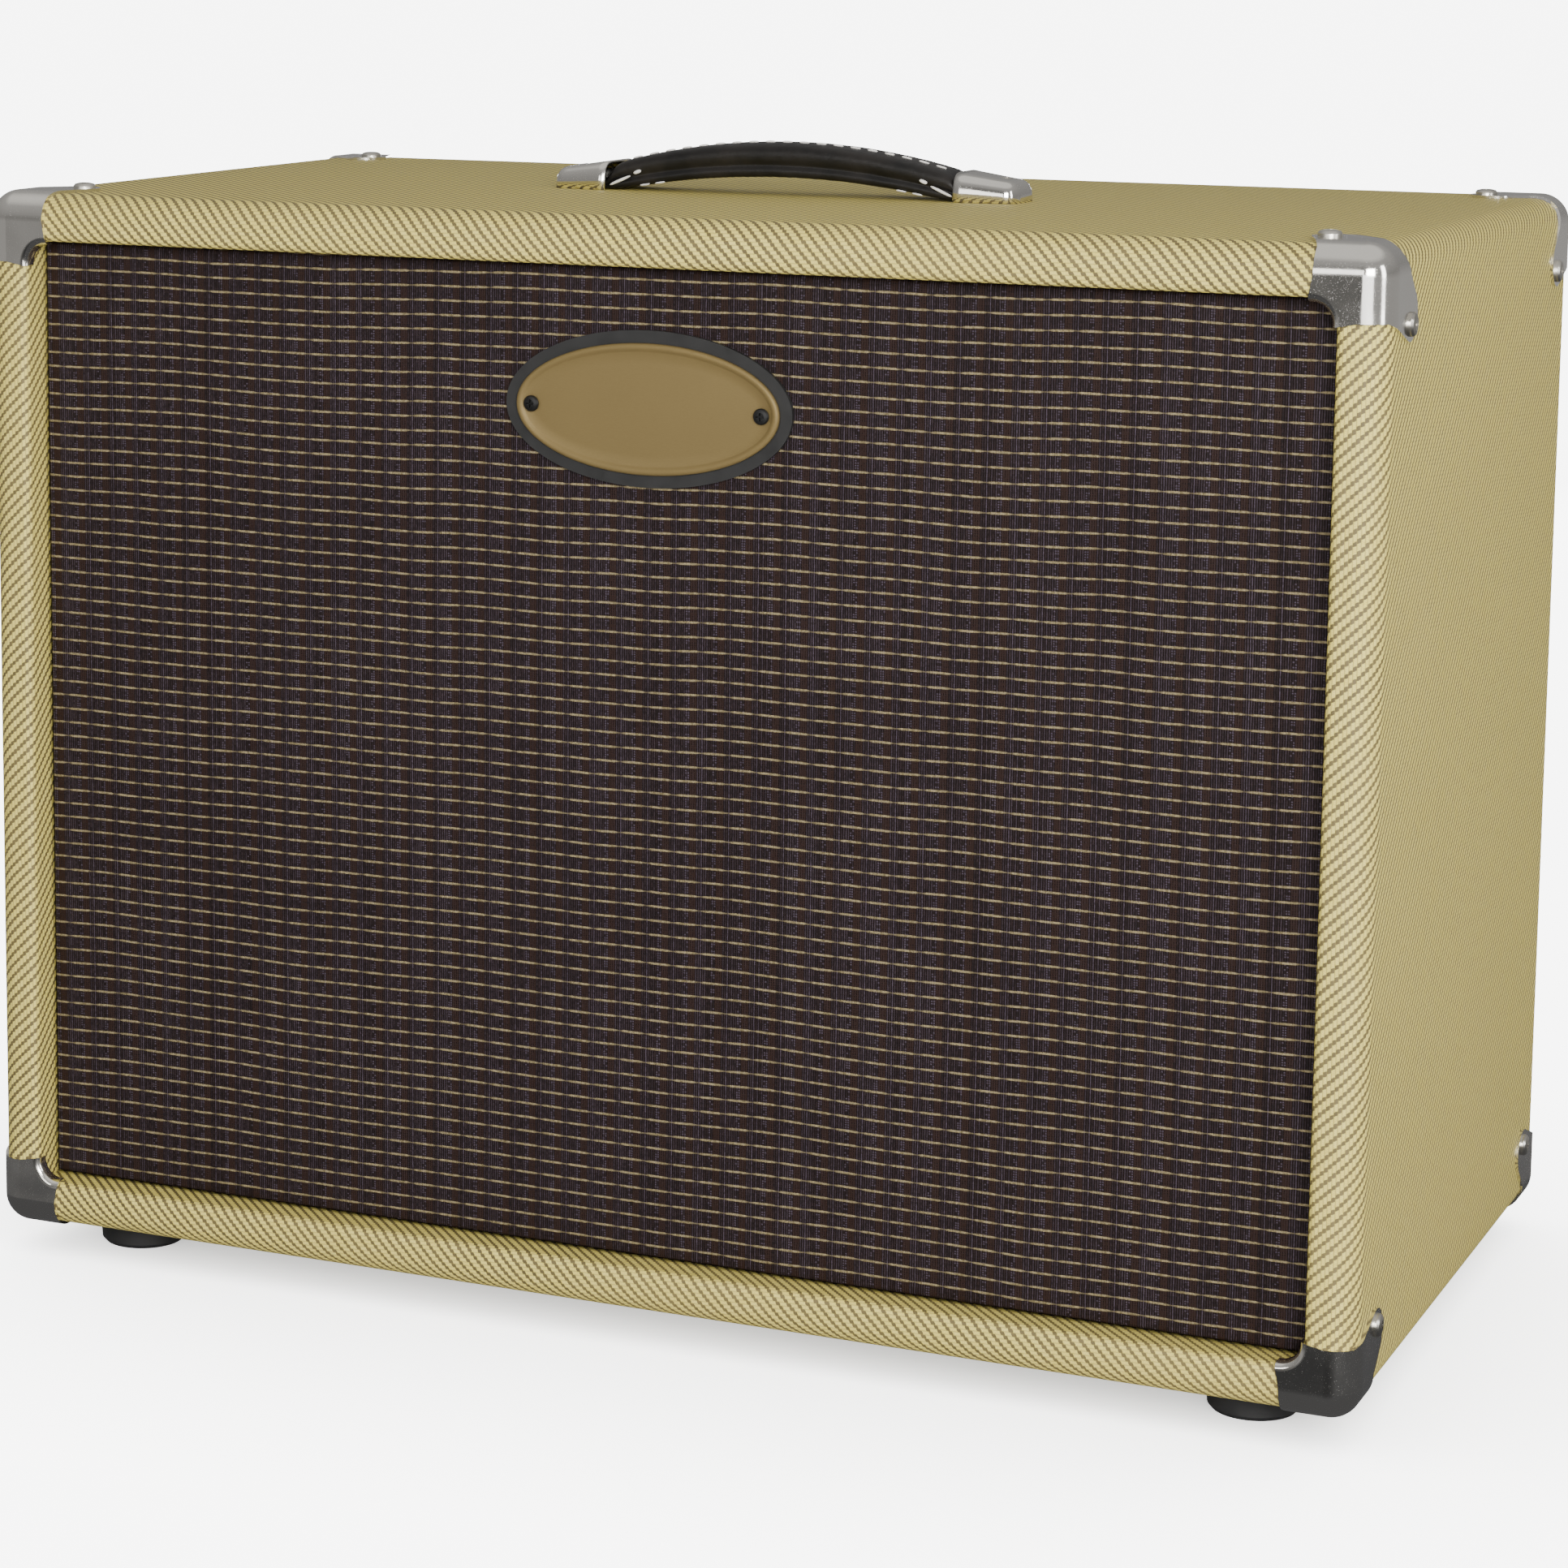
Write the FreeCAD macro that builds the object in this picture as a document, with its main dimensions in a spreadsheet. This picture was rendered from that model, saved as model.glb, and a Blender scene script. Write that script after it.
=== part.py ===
"""Open-back 1x12 guitar combo amplifier in a tweed-covered plywood cabinet.

Units are millimetres. +Z is up, the grille faces -Y, and the origin lies on the floor
below the middle of the cabinet, between the four rubber feet.
"""
import FreeCAD, Part
import math
import os
import re
import Sketcher

SIZES = {
    # cabinet
    "cab_width": 590, "cab_depth": 320, "cab_height": 440, "foot_height": 13,
    "panel_thick": 18, "skin_thick": 0.6, "glue_gap": 0.1, "edge_radius": 11, "lip_bevel": 3.6,
    "front_return": 26, "back_return": 18,
    # baffle, grille cloth and cleats
    "grille_recess": 14, "cloth_thick": 1, "cloth_gap": 1, "baffle_thick": 15, "cleat_width": 18,
    "control_recess": 28, "back_panel_thick": 9,
    "lower_panel_low": 34, "lower_panel_high": 168, "upper_panel_low": 268, "upper_panel_high": 348,
    # corner plates: distances from the cabinet's corner along its edges
    "plate_thick": 1.2, "plate_gap": 0.05, "plate_inner_radius": 8, "plate_lip": 10,
    "plate_curl": 3.2, "plate_wrap": 4.5, "plate_edge": 28, "plate_tip": 29.6, "plate_spine": 24,
    "ear_start": 4, "ear_reach": 29.5, "ear_drop": 26.5, "ear_lobe": 10, "ear_screw_at": 30,
    "waist_reach": 28, "waist_drop": 11.5,
    "sole_reach": 27.5, "sole_radius": 8, "sole_screw_reach": 20,
    # wood screws, the drill for their holes, and feet
    "drill_reach": 8,
    "head_radius": 4.6, "head_height": 2.2, "shank_radius": 2.1, "shank_length": 15,
    "recess_width": 1, "recess_span": 4.6, "recess_depth": 1.1,
    "foot_radius": 19, "foot_tread": 16.5, "foot_bore": 7.5, "foot_web": 5,
    "foot_inset_side": 48, "foot_inset_front": 40, "washer_radius": 6.6, "washer_thick": 1.2,
    # handle
    "cap_mouth": 78, "cap_length": 25, "cap_width": 32, "cap_end_width": 24, "cap_height": 11,
    "cap_end_height": 7.2, "cap_wall": 1.5, "cap_round": 2.6, "cap_screw": 95.5,
    "strap_width": 27, "strap_half": 77.5, "strap_rise": 22, "strap_shoulder": 10.5, "arch_half": 69,
    "arch_foot": 2, "arch_rise": 7.6, "tongue_half": 92, "tongue_width": 24, "tongue_low": 0.3,
    "tongue_thick": 2.6,
    # badge
    "badge_half_width": 61, "badge_half_height": 31, "badge_drop": 60, "badge_border": 5,
    "backing_thick": 2, "badge_thick": 2.2, "badge_screw": 49, "badge_screw_shrink": 0.7,
    # loudspeaker, radii and depths behind the baffle
    "speaker_height": 218, "cutout_radius": 141, "frame_radius": 155, "bolt_circle": 148.5,
    "bolt_count": 8, "gasket_thick": 3, "frame_thick": 2, "frame_wall": 1.9, "window_count": 8,
    "waist_radius": 78, "ring_depth": 75, "cone_radius": 119.7, "coil_radius": 24.8,
    "cone_thick": 1.2, "coil_gap": 0.4, "pole_radius": 23.9, "plate_radius": 70, "top_plate_thick": 7,
    "magnet_radius": 75, "magnet_hole": 32, "magnet_thick": 18, "yoke_thick": 8, "vent_radius": 6,
    "dome_radius": 48, "dome_rim": 33.6, "dome_thick": 0.7, "dome_centre": 82.8,
    "surround_depth": 2.2, "surround_thick": 0.8, "pleat_width": 3, "pleat_height": 2.5,
    "spider_thick": 0.8,
    # chassis and rear controls
    "chassis_half": 252, "chassis_front": 24, "chassis_low": 360, "chassis_high": 430,
    "sheet_thick": 1.6, "control_low": 350, "control_high": 432, "control_row": 391,
    "control_margin": 0.9, "volume_place": 140, "knob_pitch": 44, "input_place": 228,
    "input_pitch": 32, "speaker_jack_place": 8, "lamp_place": -34, "standby_place": -76,
    "power_place": -112, "inlet_place": -185, "spindle_radius": 3, "spindle_play": 0.05,
    "knob_radius": 11, "knob_height": 16, "knob_gap": 0.6, "pointer_reach": 15.5,
    "jack_bore": 3.25, "jack_depth": 30, "bat_length": 14, "bat_pivot": 2.4, "bat_lean": 12,
    "inlet_width": 27, "inlet_height": 20, "inlet_depth": 28, "inlet_flange": 2,
    "socket_width": 24.4, "socket_height": 16.6, "socket_depth": 17,
    # valves, transformers, circuit board
    "valve_radius": 10.8, "valve_base": 4, "valve_first": 200, "valve_pitch": 52, "valve_row": 90,
    "small_valve": 50, "power_valve": 66,
    "mains_core_width": 84, "mains_core_height": 70, "output_core_width": 60,
    "output_core_height": 50, "mains_place": -185, "output_place": -78, "transformer_row": 80,
    "board_left": -20, "board_right": 240, "board_front": 38, "board_back": 98, "board_lift": 10,
    # lead from the chassis to the loudspeaker
    "lead_radius": 3, "lead_place": -20, "lead_row": 45, "lead_run": 44,
}

doc = FreeCAD.newDocument("guitar_amplifier")
sheet = doc.addObject("Spreadsheet::Sheet", "dims")
for row, (alias, number) in enumerate(SIZES.items(), start=1):
    sheet.set(f"A{row}", alias)
    sheet.set(f"B{row}", str(number))
    sheet.setAlias(f"B{row}", alias)
doc.recompute()

RIGHT = FreeCAD.Vector(1, 0, 0)
BACK = FreeCAD.Vector(0, 1, 0)
UP = FreeCAD.Vector(0, 0, 1)
NO_TURN = FreeCAD.Rotation()
TO_BACK = FreeCAD.Rotation(RIGHT, -90)      # local +Z points to the back of the cabinet
TO_FRONT = FreeCAD.Rotation(RIGHT, 90)      # local +Z points to the front

# Places that many sub-parts share, as formulas over the sheet
COVER = "(skin_thick + glue_gap)"
FRONT_Y = "(-cab_depth / 2)"
BACK_Y = "(cab_depth / 2)"
TOP_Z = "(foot_height + cab_height)"
MIDDLE_Z = "(foot_height + cab_height / 2)"
INNER_X = f"(cab_width / 2 - {COVER} - panel_thick)"
INNER_LOW = f"(foot_height + {COVER} + panel_thick)"
INNER_HIGH = f"({TOP_Z} - {COVER} - panel_thick)"
MARGIN = f"(2 * {COVER} + panel_thick)"
OPEN_X = f"(cab_width / 2 - {MARGIN})"
OPEN_Z = f"(cab_height / 2 - {MARGIN})"
CLOTH_Y = f"({FRONT_Y} + grille_recess)"
BAFFLE_BACK = f"({CLOTH_Y} + cloth_thick + baffle_thick)"
PANEL_Y = f"({BACK_Y} - control_recess)"
CONTROL_Y = f"({PANEL_Y} + sheet_thick)"
SCREW_X = f"({INNER_X} - cleat_width / 2)"

nodes = {}


def bound(formula):
    """The formula with each of the sheet's names as a reference to its cell."""
    def cell(found):
        word = found.group(0)
        return f"dims.{word}" if word in SIZES else word
    return re.sub(r"[a-z_]+", cell, str(formula))


def value(formula):
    return float(sheet.evalExpression(bound(formula)))


def node(name, obj):
    """Names a finished sub-part, so that it is written to a file of that name."""
    obj.Label = name
    nodes[name] = obj
    return obj


def new(kind, name, **sizes):
    obj = doc.addObject(kind, name)
    for key, formula in sizes.items():
        obj.setExpression(key, bound(formula))
    return obj


def place(obj, spot, turn=NO_TURN):
    obj.Placement = FreeCAD.Placement(FreeCAD.Vector(), turn)
    for letter, formula in zip("xyz", spot):
        obj.setExpression(f"Placement.Base.{letter}", bound(formula))
    return obj


def block(name, x, y, z):
    """A box between two planes on each axis."""
    sizes = [f"{high} - ({low})" for low, high in (x, y, z)]
    obj = new("Part::Box", name, Length=sizes[0], Width=sizes[1], Height=sizes[2])
    return place(obj, (x[0], y[0], z[0]))


def both(half):
    """A span that reaches equally far to each side of zero."""
    return f"-({half})", f"{half}"


def around(centre, half):
    return f"{centre} - ({half})", f"{centre} + ({half})"


def rod(name, radius, length, spot, turn=NO_TURN):
    return place(new("Part::Cylinder", name, Radius=radius, Height=length), spot, turn)


def ball(name, radius, spot):
    return place(new("Part::Sphere", name, Radius=radius), spot)


def combine(kind, name, pieces):
    """One object of several: fused (MultiFuse), shared space (MultiCommon) or a group."""
    obj = doc.addObject(f"Part::{kind}", name)
    setattr(obj, "Links" if kind == "Compound" else "Shapes", list(pieces))
    return obj


def cut(name, base, *tools):
    obj = doc.addObject("Part::Cut", name)
    obj.Base = base
    obj.Tool = tools[0] if len(tools) == 1 else combine("MultiFuse", f"{name}_tool", tools)
    return obj


def rounded(name, base, radius, chosen):
    """A fillet on each edge of the base that the test picks."""
    doc.recompute()
    size = value(radius)
    obj = doc.addObject("Part::Fillet", name)
    obj.Base = base
    obj.Edges = [(i, size, size) for i, edge in enumerate(base.Shape.Edges, start=1) if chosen(edge)]
    return obj


def runs_along(direction):
    return lambda edge: abs(edge.tangentAt(edge.FirstParameter).dot(direction)) > 0.99


def sketch_of(body, role, points):
    """A closed outline whose corners follow the sheet, on one of the body's own planes."""
    sketch = body.newObject("Sketcher::SketchObject", f"{body.Name}_outline")
    planes = body.Origin.OriginFeatures
    sketch.AttachmentSupport = [(next(plane for plane in planes if plane.Role == role), "")]
    sketch.MapMode = "FlatFace"
    spots = [FreeCAD.Vector(value(first), value(second), 0) for first, second in points]
    for i, spot in enumerate(spots):
        sketch.addGeometry(Part.LineSegment(spot, spots[(i + 1) % len(spots)]), False)
    for i, (first, second) in enumerate(points):
        follower = (i + 1) % len(points)
        sketch.addConstraint(Sketcher.Constraint("Coincident", i, 2, follower, 1))
        for kind, formula in (("DistanceX", first), ("DistanceY", second)):
            number = sketch.addConstraint(Sketcher.Constraint(kind, i, 1, value(formula)))
            sketch.setExpression(f"Constraints[{number}]", bound(formula))
    return sketch


def turned(name, points, spot=(0, 0, 0), turn=NO_TURN):
    """A body turned about its own Z axis; each point is a radius and a height."""
    body = doc.addObject("PartDesign::Body", name)
    outline = sketch_of(body, "XZ_Plane", points)
    revolution = body.newObject("PartDesign::Revolution", f"{name}_turn")
    revolution.Profile = outline
    revolution.ReferenceAxis = (outline, ["V_Axis"])
    revolution.Angle = 360
    return place(body, spot, turn)


def padded(name, points, length, spot, turn=NO_TURN):
    """A body with the outline in its own XY plane, padded equally to both sides of it."""
    body = doc.addObject("PartDesign::Body", name)
    pad = body.newObject("PartDesign::Pad", f"{name}_pad")
    pad.Profile = sketch_of(body, "XY_Plane", points)
    pad.Midplane = True
    pad.setExpression("Length", bound(length))
    return place(body, spot, turn)


def drill(name, radius):
    """A round cutter that reaches equally far to both sides of its own XY plane."""
    return turned(name, [("0", "-drill_reach"), (radius, "-drill_reach"), (radius, "drill_reach"),
                         ("0", "drill_reach")])


def copies(name, master, places):
    """A group of copies, each at a spot with the master's +Z along the direction given."""
    links = []
    for number, (spot, outward) in enumerate(places, start=1):
        link = doc.addObject("App::Link", f"{name}_{number}")
        link.LinkedObject = master
        links.append(place(link, spot, FreeCAD.Rotation(UP, outward)))
    return combine("Compound", name, links)


def frame_turn(first, second):
    """The rotation that takes local X and Y to two directions at right angles."""
    return FreeCAD.Rotation(first, second, first.cross(second), "XYZ")


# ---------------------------------------------------------------- cabinet

def open_block(name, grow, inner_radius=None):
    """The covered cabinet as a round-edged block with a straight opening, grown by an offset."""
    outer = block(f"{name}_block", both(f"(cab_width / 2 + {grow})"),
                  both(f"(cab_depth / 2 + {grow})"), around(MIDDLE_Z, f"cab_height / 2 + {grow}"))
    solid = rounded(f"{name}_round", outer, f"edge_radius + {grow}", lambda edge: True)
    opening = block(f"{name}_opening", both(f"({OPEN_X} - ({grow}))"), both("cab_depth"),
                    around(MIDDLE_Z, f"({OPEN_Z} - ({grow}))"))
    if inner_radius:
        opening = rounded(f"{name}_opening_round", opening, inner_radius, runs_along(BACK))
    return cut(f"{name}_shell", solid, opening)


def cabinet_ring(name, grow):
    """The covered cabinet without front or back, with the edges of both openings bevelled."""
    half_x = f"({OPEN_X} - ({grow}))"
    half_z = f"({OPEN_Z} - ({grow}))"
    # A bevel plane moves with the offset, so its leg grows by (2 - sqrt 2) of the offset.
    bevel = f"(lip_bevel + (2 - sqrt(2)) * ({grow}))"
    flares = []
    for end, turn in (("front", FreeCAD.Rotation(UP, 0)), ("back", FreeCAD.Rotation(UP, 180))):
        flare = new("Part::Wedge", f"{name}_{end}_flare",
                    Xmin=f"-{half_x} - {bevel}", Xmax=f"{half_x} + {bevel}",
                    Zmin=f"-{half_z} - {bevel}", Zmax=f"{half_z} + {bevel}",
                    X2min=f"-{half_x}", X2max=half_x, Z2min=f"-{half_z}", Z2max=half_z,
                    Ymin=f"-cab_depth / 2 - ({grow})", Ymax=f"-cab_depth / 2 - ({grow}) + {bevel}")
        flares.append(place(flare, ("0", "0", MIDDLE_Z), turn))
    return cut(name, open_block(name, grow), *flares)


def curled_ring(name, grow, curl):
    """The same around the corner plates, whose metal curls round the edges of both openings."""
    ring = open_block(name, grow, "plate_inner_radius")
    face = value(f"cab_depth / 2 + {grow}")
    half = value(f"{OPEN_X} - {grow}")

    def at_opening(edge):
        box = edge.BoundBox
        return (box.YLength < 0.01 and abs(abs(box.YMin) - face) < 0.01
                and max(-box.XMin, box.XMax) < half + 0.01)

    return rounded(name, ring, curl, at_opening)


def make_cabinet():
    covered = cabinet_ring("covered_cabinet", "0")
    core = cabinet_ring("skin_core", "-skin_thick")
    lining = block("skin_middle", both(f"({OPEN_X} + skin_thick + glue_gap / 2)"),
                   (f"{FRONT_Y} + front_return", f"{BACK_Y} - back_return"),
                   around(MIDDLE_Z, f"{OPEN_Z} + skin_thick + glue_gap / 2"))
    node("tweed_covering", cut("tweed_skin", covered, core, lining))

    wood = cabinet_ring("wood_shell", f"(-{COVER})")
    deep = both("cab_depth")
    boards = {
        "top_panel": (both("cab_width"), deep, (INNER_HIGH, TOP_Z)),
        "bottom_panel": (both("cab_width"), deep, ("foot_height", INNER_LOW)),
        "left_side_panel": (("-cab_width", f"-{INNER_X}"), deep, (INNER_LOW, INNER_HIGH)),
        "right_side_panel": ((INNER_X, "cab_width"), deep, (INNER_LOW, INNER_HIGH)),
    }
    for name, spans in boards.items():
        zone = block(f"{name}_zone", *spans)
        node(name, combine("MultiCommon", name, [wood, zone]))

    tray_x = f"({OPEN_X} - cloth_gap)"
    tray_z = f"({OPEN_Z} - cloth_gap)"
    tray = block("cloth_outer", both(tray_x), (CLOTH_Y, BAFFLE_BACK), around(MIDDLE_Z, tray_z))
    hollow = block("cloth_inner", both(f"({tray_x} - cloth_thick)"),
                   (f"{CLOTH_Y} + cloth_thick", BACK_Y), around(MIDDLE_Z, f"{tray_z} - cloth_thick"))
    node("grille_cloth", cut("cloth_tray", tray, hollow))

    board = block("baffle_blank", both(f"({tray_x} - cloth_thick - glue_gap)"),
                  (f"{CLOTH_Y} + cloth_thick", BAFFLE_BACK),
                  around(MIDDLE_Z, f"{tray_z} - cloth_thick - glue_gap"))
    hole = rod("baffle_cutout", "cutout_radius", "2 * baffle_thick",
               ("0", CLOTH_Y, "speaker_height"), TO_BACK)
    node("baffle_board", cut("baffle", board, hole))
    make_cleats()


def make_cleats():
    """Softwood battens that the baffle and the back panels are screwed to."""
    front = (BAFFLE_BACK, f"{BAFFLE_BACK} + cleat_width")
    back = (f"{PANEL_Y} - cleat_width", PANEL_Y)
    low = (INNER_LOW, f"{INNER_LOW} + cleat_width")
    high = (f"{INNER_HIGH} - cleat_width", INNER_HIGH)
    upright = (low[1], high[0])
    left = (f"-{INNER_X}", f"-{INNER_X} + cleat_width")
    right = (f"{INNER_X} - cleat_width", INNER_X)
    battens = [
        block("front_cleat_left", left, front, upright),
        block("front_cleat_right", right, front, upright),
        block("front_cleat_low", both(INNER_X), front, low),
        block("front_cleat_high", both(INNER_X), front, high),
        block("back_cleat_left", left, back, (low[1], INNER_HIGH)),
        block("back_cleat_right", right, back, (low[1], INNER_HIGH)),
        block("back_cleat_low", both(INNER_X), back, low),
    ]
    node("wood_cleats", combine("Compound", "cleats", battens))


def make_back_panels():
    wide = both(f"({OPEN_X} - control_margin)")
    deep = (PANEL_Y, f"{PANEL_Y} + back_panel_thick")
    node("upper_back_panel", block("upper_back", wide, deep, ("upper_panel_low", "upper_panel_high")))
    node("lower_back_panel", block("lower_back", wide, deep, ("lower_panel_low", "lower_panel_high")))


# ---------------------------------------------------------------- fasteners

def screw(name, head="1", shank="shank_length"):
    """A cross-recess pan-head screw; its head's underside is at the origin, head up."""
    radius = f"head_radius * {head}"
    height = f"head_height * {head}"
    body = turned(f"{name}_body", [
        ("0", f"-({shank})"), (f"shank_radius * {head}", f"shank_radius - ({shank})"),
        (f"shank_radius * {head}", "0"), (radius, "0"), (radius, f"{height} * 0.4"),
        (f"{radius} * 0.86", f"{height} * 0.8"), (f"{radius} * 0.5", height), ("0", height)])
    depth = (f"{height} - recess_depth", f"{height} * 2")
    long = both(f"recess_span * {head} / 2")
    thin = both(f"recess_width * {head} / 2")
    cross = [block(f"{name}_slot", long, thin, depth), block(f"{name}_cross_slot", thin, long, depth)]
    return cut(name, body, *cross)


def side_and_level_signs():
    return [(side, level) for side in (-1, 1) for level in (-1, 1)]


def ear_screw_places():
    """Spot and outward direction of the two screws of each corner plate."""
    out = "(plate_gap + plate_thick)"
    places = []
    for side, level in side_and_level_signs():
        for end in (-1, 1):
            side_z = f"{MIDDLE_Z} + {level} * (cab_height / 2 - ear_screw_at)"
            places.append(((f"{side} * (cab_width / 2 + {out})",
                            f"{end} * (cab_depth / 2 - ear_screw_at)", side_z), RIGHT * side))
            reach = "ear_screw_at" if level > 0 else "sole_screw_reach"
            places.append(((f"{side} * (cab_width / 2 - {reach})", f"{end} * (cab_depth / 2 - {reach})",
                            f"{MIDDLE_Z} + {level} * (cab_height / 2 + {out})"), UP * level))
    return places


def back_screw_places():
    plate = [(SCREW_X, CONTROL_Y, height) for height in ("control_low + 12", "control_high - 12")]
    face = f"{PANEL_Y} + back_panel_thick"
    for low, high in (("upper_panel_low", "upper_panel_high"), ("lower_panel_low", "lower_panel_high")):
        plate += [(SCREW_X, face, f"{low} + 16"), (SCREW_X, face, f"{high} - 16")]
    plate.append((f"({SCREW_X} / 2)", face, f"{INNER_LOW} + cleat_width / 2"))
    return [((f"{side} * {x}", y, z), BACK) for side in (-1, 1) for x, y, z in plate]


def foot_spots():
    x = "(cab_width / 2 - foot_inset_side)"
    y = "(cab_depth / 2 - foot_inset_front)"
    return [(f"{side} * {x}", f"{end} * {y}", "0") for side, end in side_and_level_signs()]


def make_fasteners_and_feet():
    wood_screw = screw("wood_screw")
    node("corner_screws", copies("corner_screw_set", wood_screw, ear_screw_places()))
    node("back_panel_screws", copies("back_screw_set", wood_screw, back_screw_places()))

    foot = turned("foot_master", [
        ("foot_bore", "0"), ("foot_tread", "0"), ("foot_tread + 1.6", "1.8"),
        ("foot_radius", "foot_height - 2"), ("foot_radius - 0.6", "foot_height"),
        ("shank_radius + 0.3", "foot_height"), ("shank_radius + 0.3", "foot_height - foot_web"),
        ("foot_bore", "foot_height - foot_web")])
    node("rubber_feet", copies("foot_set", foot, [(spot, UP) for spot in foot_spots()]))

    seat = "(foot_height - foot_web)"
    washer = turned("washer_master", [
        ("shank_radius + 0.2", "0"), ("washer_radius", "0"), ("washer_radius", "washer_thick"),
        ("shank_radius + 0.2", "washer_thick")])
    washers = copies("washer_set", washer,
                     [((x, y, f"{seat} - washer_thick"), UP) for x, y, _ in foot_spots()])
    screws = copies("foot_screw_set", wood_screw,
                    [((x, y, f"{seat} - washer_thick"), -UP) for x, y, _ in foot_spots()])
    node("foot_screws", combine("Compound", "foot_fasteners", [washers, screws]))


# ---------------------------------------------------------------- corner plates

EAR = [  # along the cabinet's edge and down from it, around the lobe that holds the screw
    ("-plate_lip", "-plate_lip"), ("plate_spine", "-plate_lip"), ("plate_spine", "ear_start"),
    ("waist_reach", "waist_drop"), ("ear_reach + 0.77 * ear_lobe", "ear_drop - 0.64 * ear_lobe"),
    ("ear_reach", "ear_drop"), ("ear_reach - 0.33 * ear_lobe", "ear_drop + 0.944 * ear_lobe"),
    ("ear_start", "plate_edge"), ("-plate_lip", "plate_edge")]
SOLE = [  # the same under the cabinet, short enough to clear the foot
    ("-plate_lip", "-plate_lip"), ("sole_reach", "-plate_lip"),
    ("sole_reach", "sole_reach - sole_radius"), ("sole_reach - sole_radius", "sole_reach"),
    ("-plate_lip", "sole_reach")]


def ear(name, outline, lobe, spot, turn):
    """The zone of a plate on one face: an outline and the round lobe (centre and radius) on it."""
    deep = "2 * edge_radius + 2"
    flat = padded(f"{name}_flat", outline, deep, spot, turn)
    centre_along, centre_down, radius = lobe
    round_end = new("Part::Cylinder", f"{name}_lobe", Radius=radius, Height=deep)
    across, down, normal = (turn.multVec(axis) for axis in (RIGHT, BACK, UP))
    centre = []
    for axis, start in enumerate(spot):
        parts = [(across[axis], centre_along), (down[axis], centre_down), (normal[axis], f"-({deep}) / 2")]
        moves = [f"{round(sign)} * ({size})" for sign, size in parts if round(sign)]
        centre.append(" + ".join([start] + moves))
    place(round_end, centre, turn)
    return combine("MultiFuse", name, [flat, round_end])


def corner_plate(name, shell, end, level):
    """The right-hand plate at one end (-1 front) and level (1 top)."""
    away = BACK * -end          # from the front or back face into the cabinet
    down = UP * -level
    inward = RIGHT * -1
    corner = ("cab_width / 2", f"{end} * cab_depth / 2", f"{MIDDLE_Z} + {level} * cab_height / 2")
    lobe = ("ear_reach", "ear_drop", "ear_lobe")
    side_ear = ear(f"{name}_side", EAR, lobe, corner, frame_turn(away, down))
    if level > 0:
        flat_ear = ear(f"{name}_top", EAR, lobe, corner, frame_turn(away, inward))
    else:
        round_corner = ("sole_reach - sole_radius", "sole_reach - sole_radius", "sole_radius")
        flat_ear = ear(f"{name}_sole", SOLE, round_corner, corner, frame_turn(away, inward))
    near = f"({MARGIN} + 1)"
    front = padded(f"{name}_front", [
        ("-plate_lip", "-plate_lip"), ("plate_edge", "-plate_lip"), ("plate_edge", "edge_radius"),
        ("plate_tip", MARGIN), ("plate_tip", near), (near, "plate_tip"), (MARGIN, "plate_tip"),
        ("edge_radius", "plate_edge"), ("-plate_lip", "plate_edge")],
        "2 * plate_wrap", corner, frame_turn(inward, down))
    zone = combine("MultiFuse", f"{name}_zone", [side_ear, flat_ear, front])
    return combine("MultiCommon", f"{name}_sheet", [shell, zone])


def make_corner_plates():
    outer = curled_ring("plate_outer", "(plate_gap + plate_thick)", "plate_curl")
    inner = curled_ring("plate_inner", "plate_gap", "plate_curl - plate_thick")
    shell = cut("plate_shell", outer, inner)
    holes = copies("plate_holes", drill("plate_drill", "shank_radius + 0.2"), ear_screw_places())
    for end, end_name in ((-1, "front"), (1, "back")):
        for level, level_name in ((1, "top"), (-1, "bottom")):
            name = f"corner_{level_name}_{end_name}"
            sheet_metal = corner_plate(name, shell, end, level)
            right = node(f"{name}_right", cut(f"{name}_drilled", sheet_metal, holes))
            left = doc.addObject("Part::Mirroring", f"{name}_mirrored")
            left.Source = right
            left.Normal = RIGHT
            node(f"{name}_left", left)


# ---------------------------------------------------------------- handle and badge

def tapered(name, side, inset, start, finish):
    """A wedge along X that narrows and drops from an end cap's mouth to its outer end."""
    half = f"(cap_width / 2 - {inset})"
    end_half = f"(cap_end_width / 2 - {inset})"
    shape = new("Part::Wedge", name, Ymin=start, Ymax=finish, Xmin=f"-{half}", Xmax=half,
                X2min=f"-{end_half}", X2max=end_half, Zmin="0", Zmax=f"cap_height - {inset}",
                Z2min="0", Z2max=f"cap_end_height - {inset}")
    return place(shape, ("0", "0", TOP_Z), FreeCAD.Rotation(UP, -90 * side))


def cap_slope():
    return math.degrees(math.atan2(value("cap_height - cap_end_height"), value("cap_length")))


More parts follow.
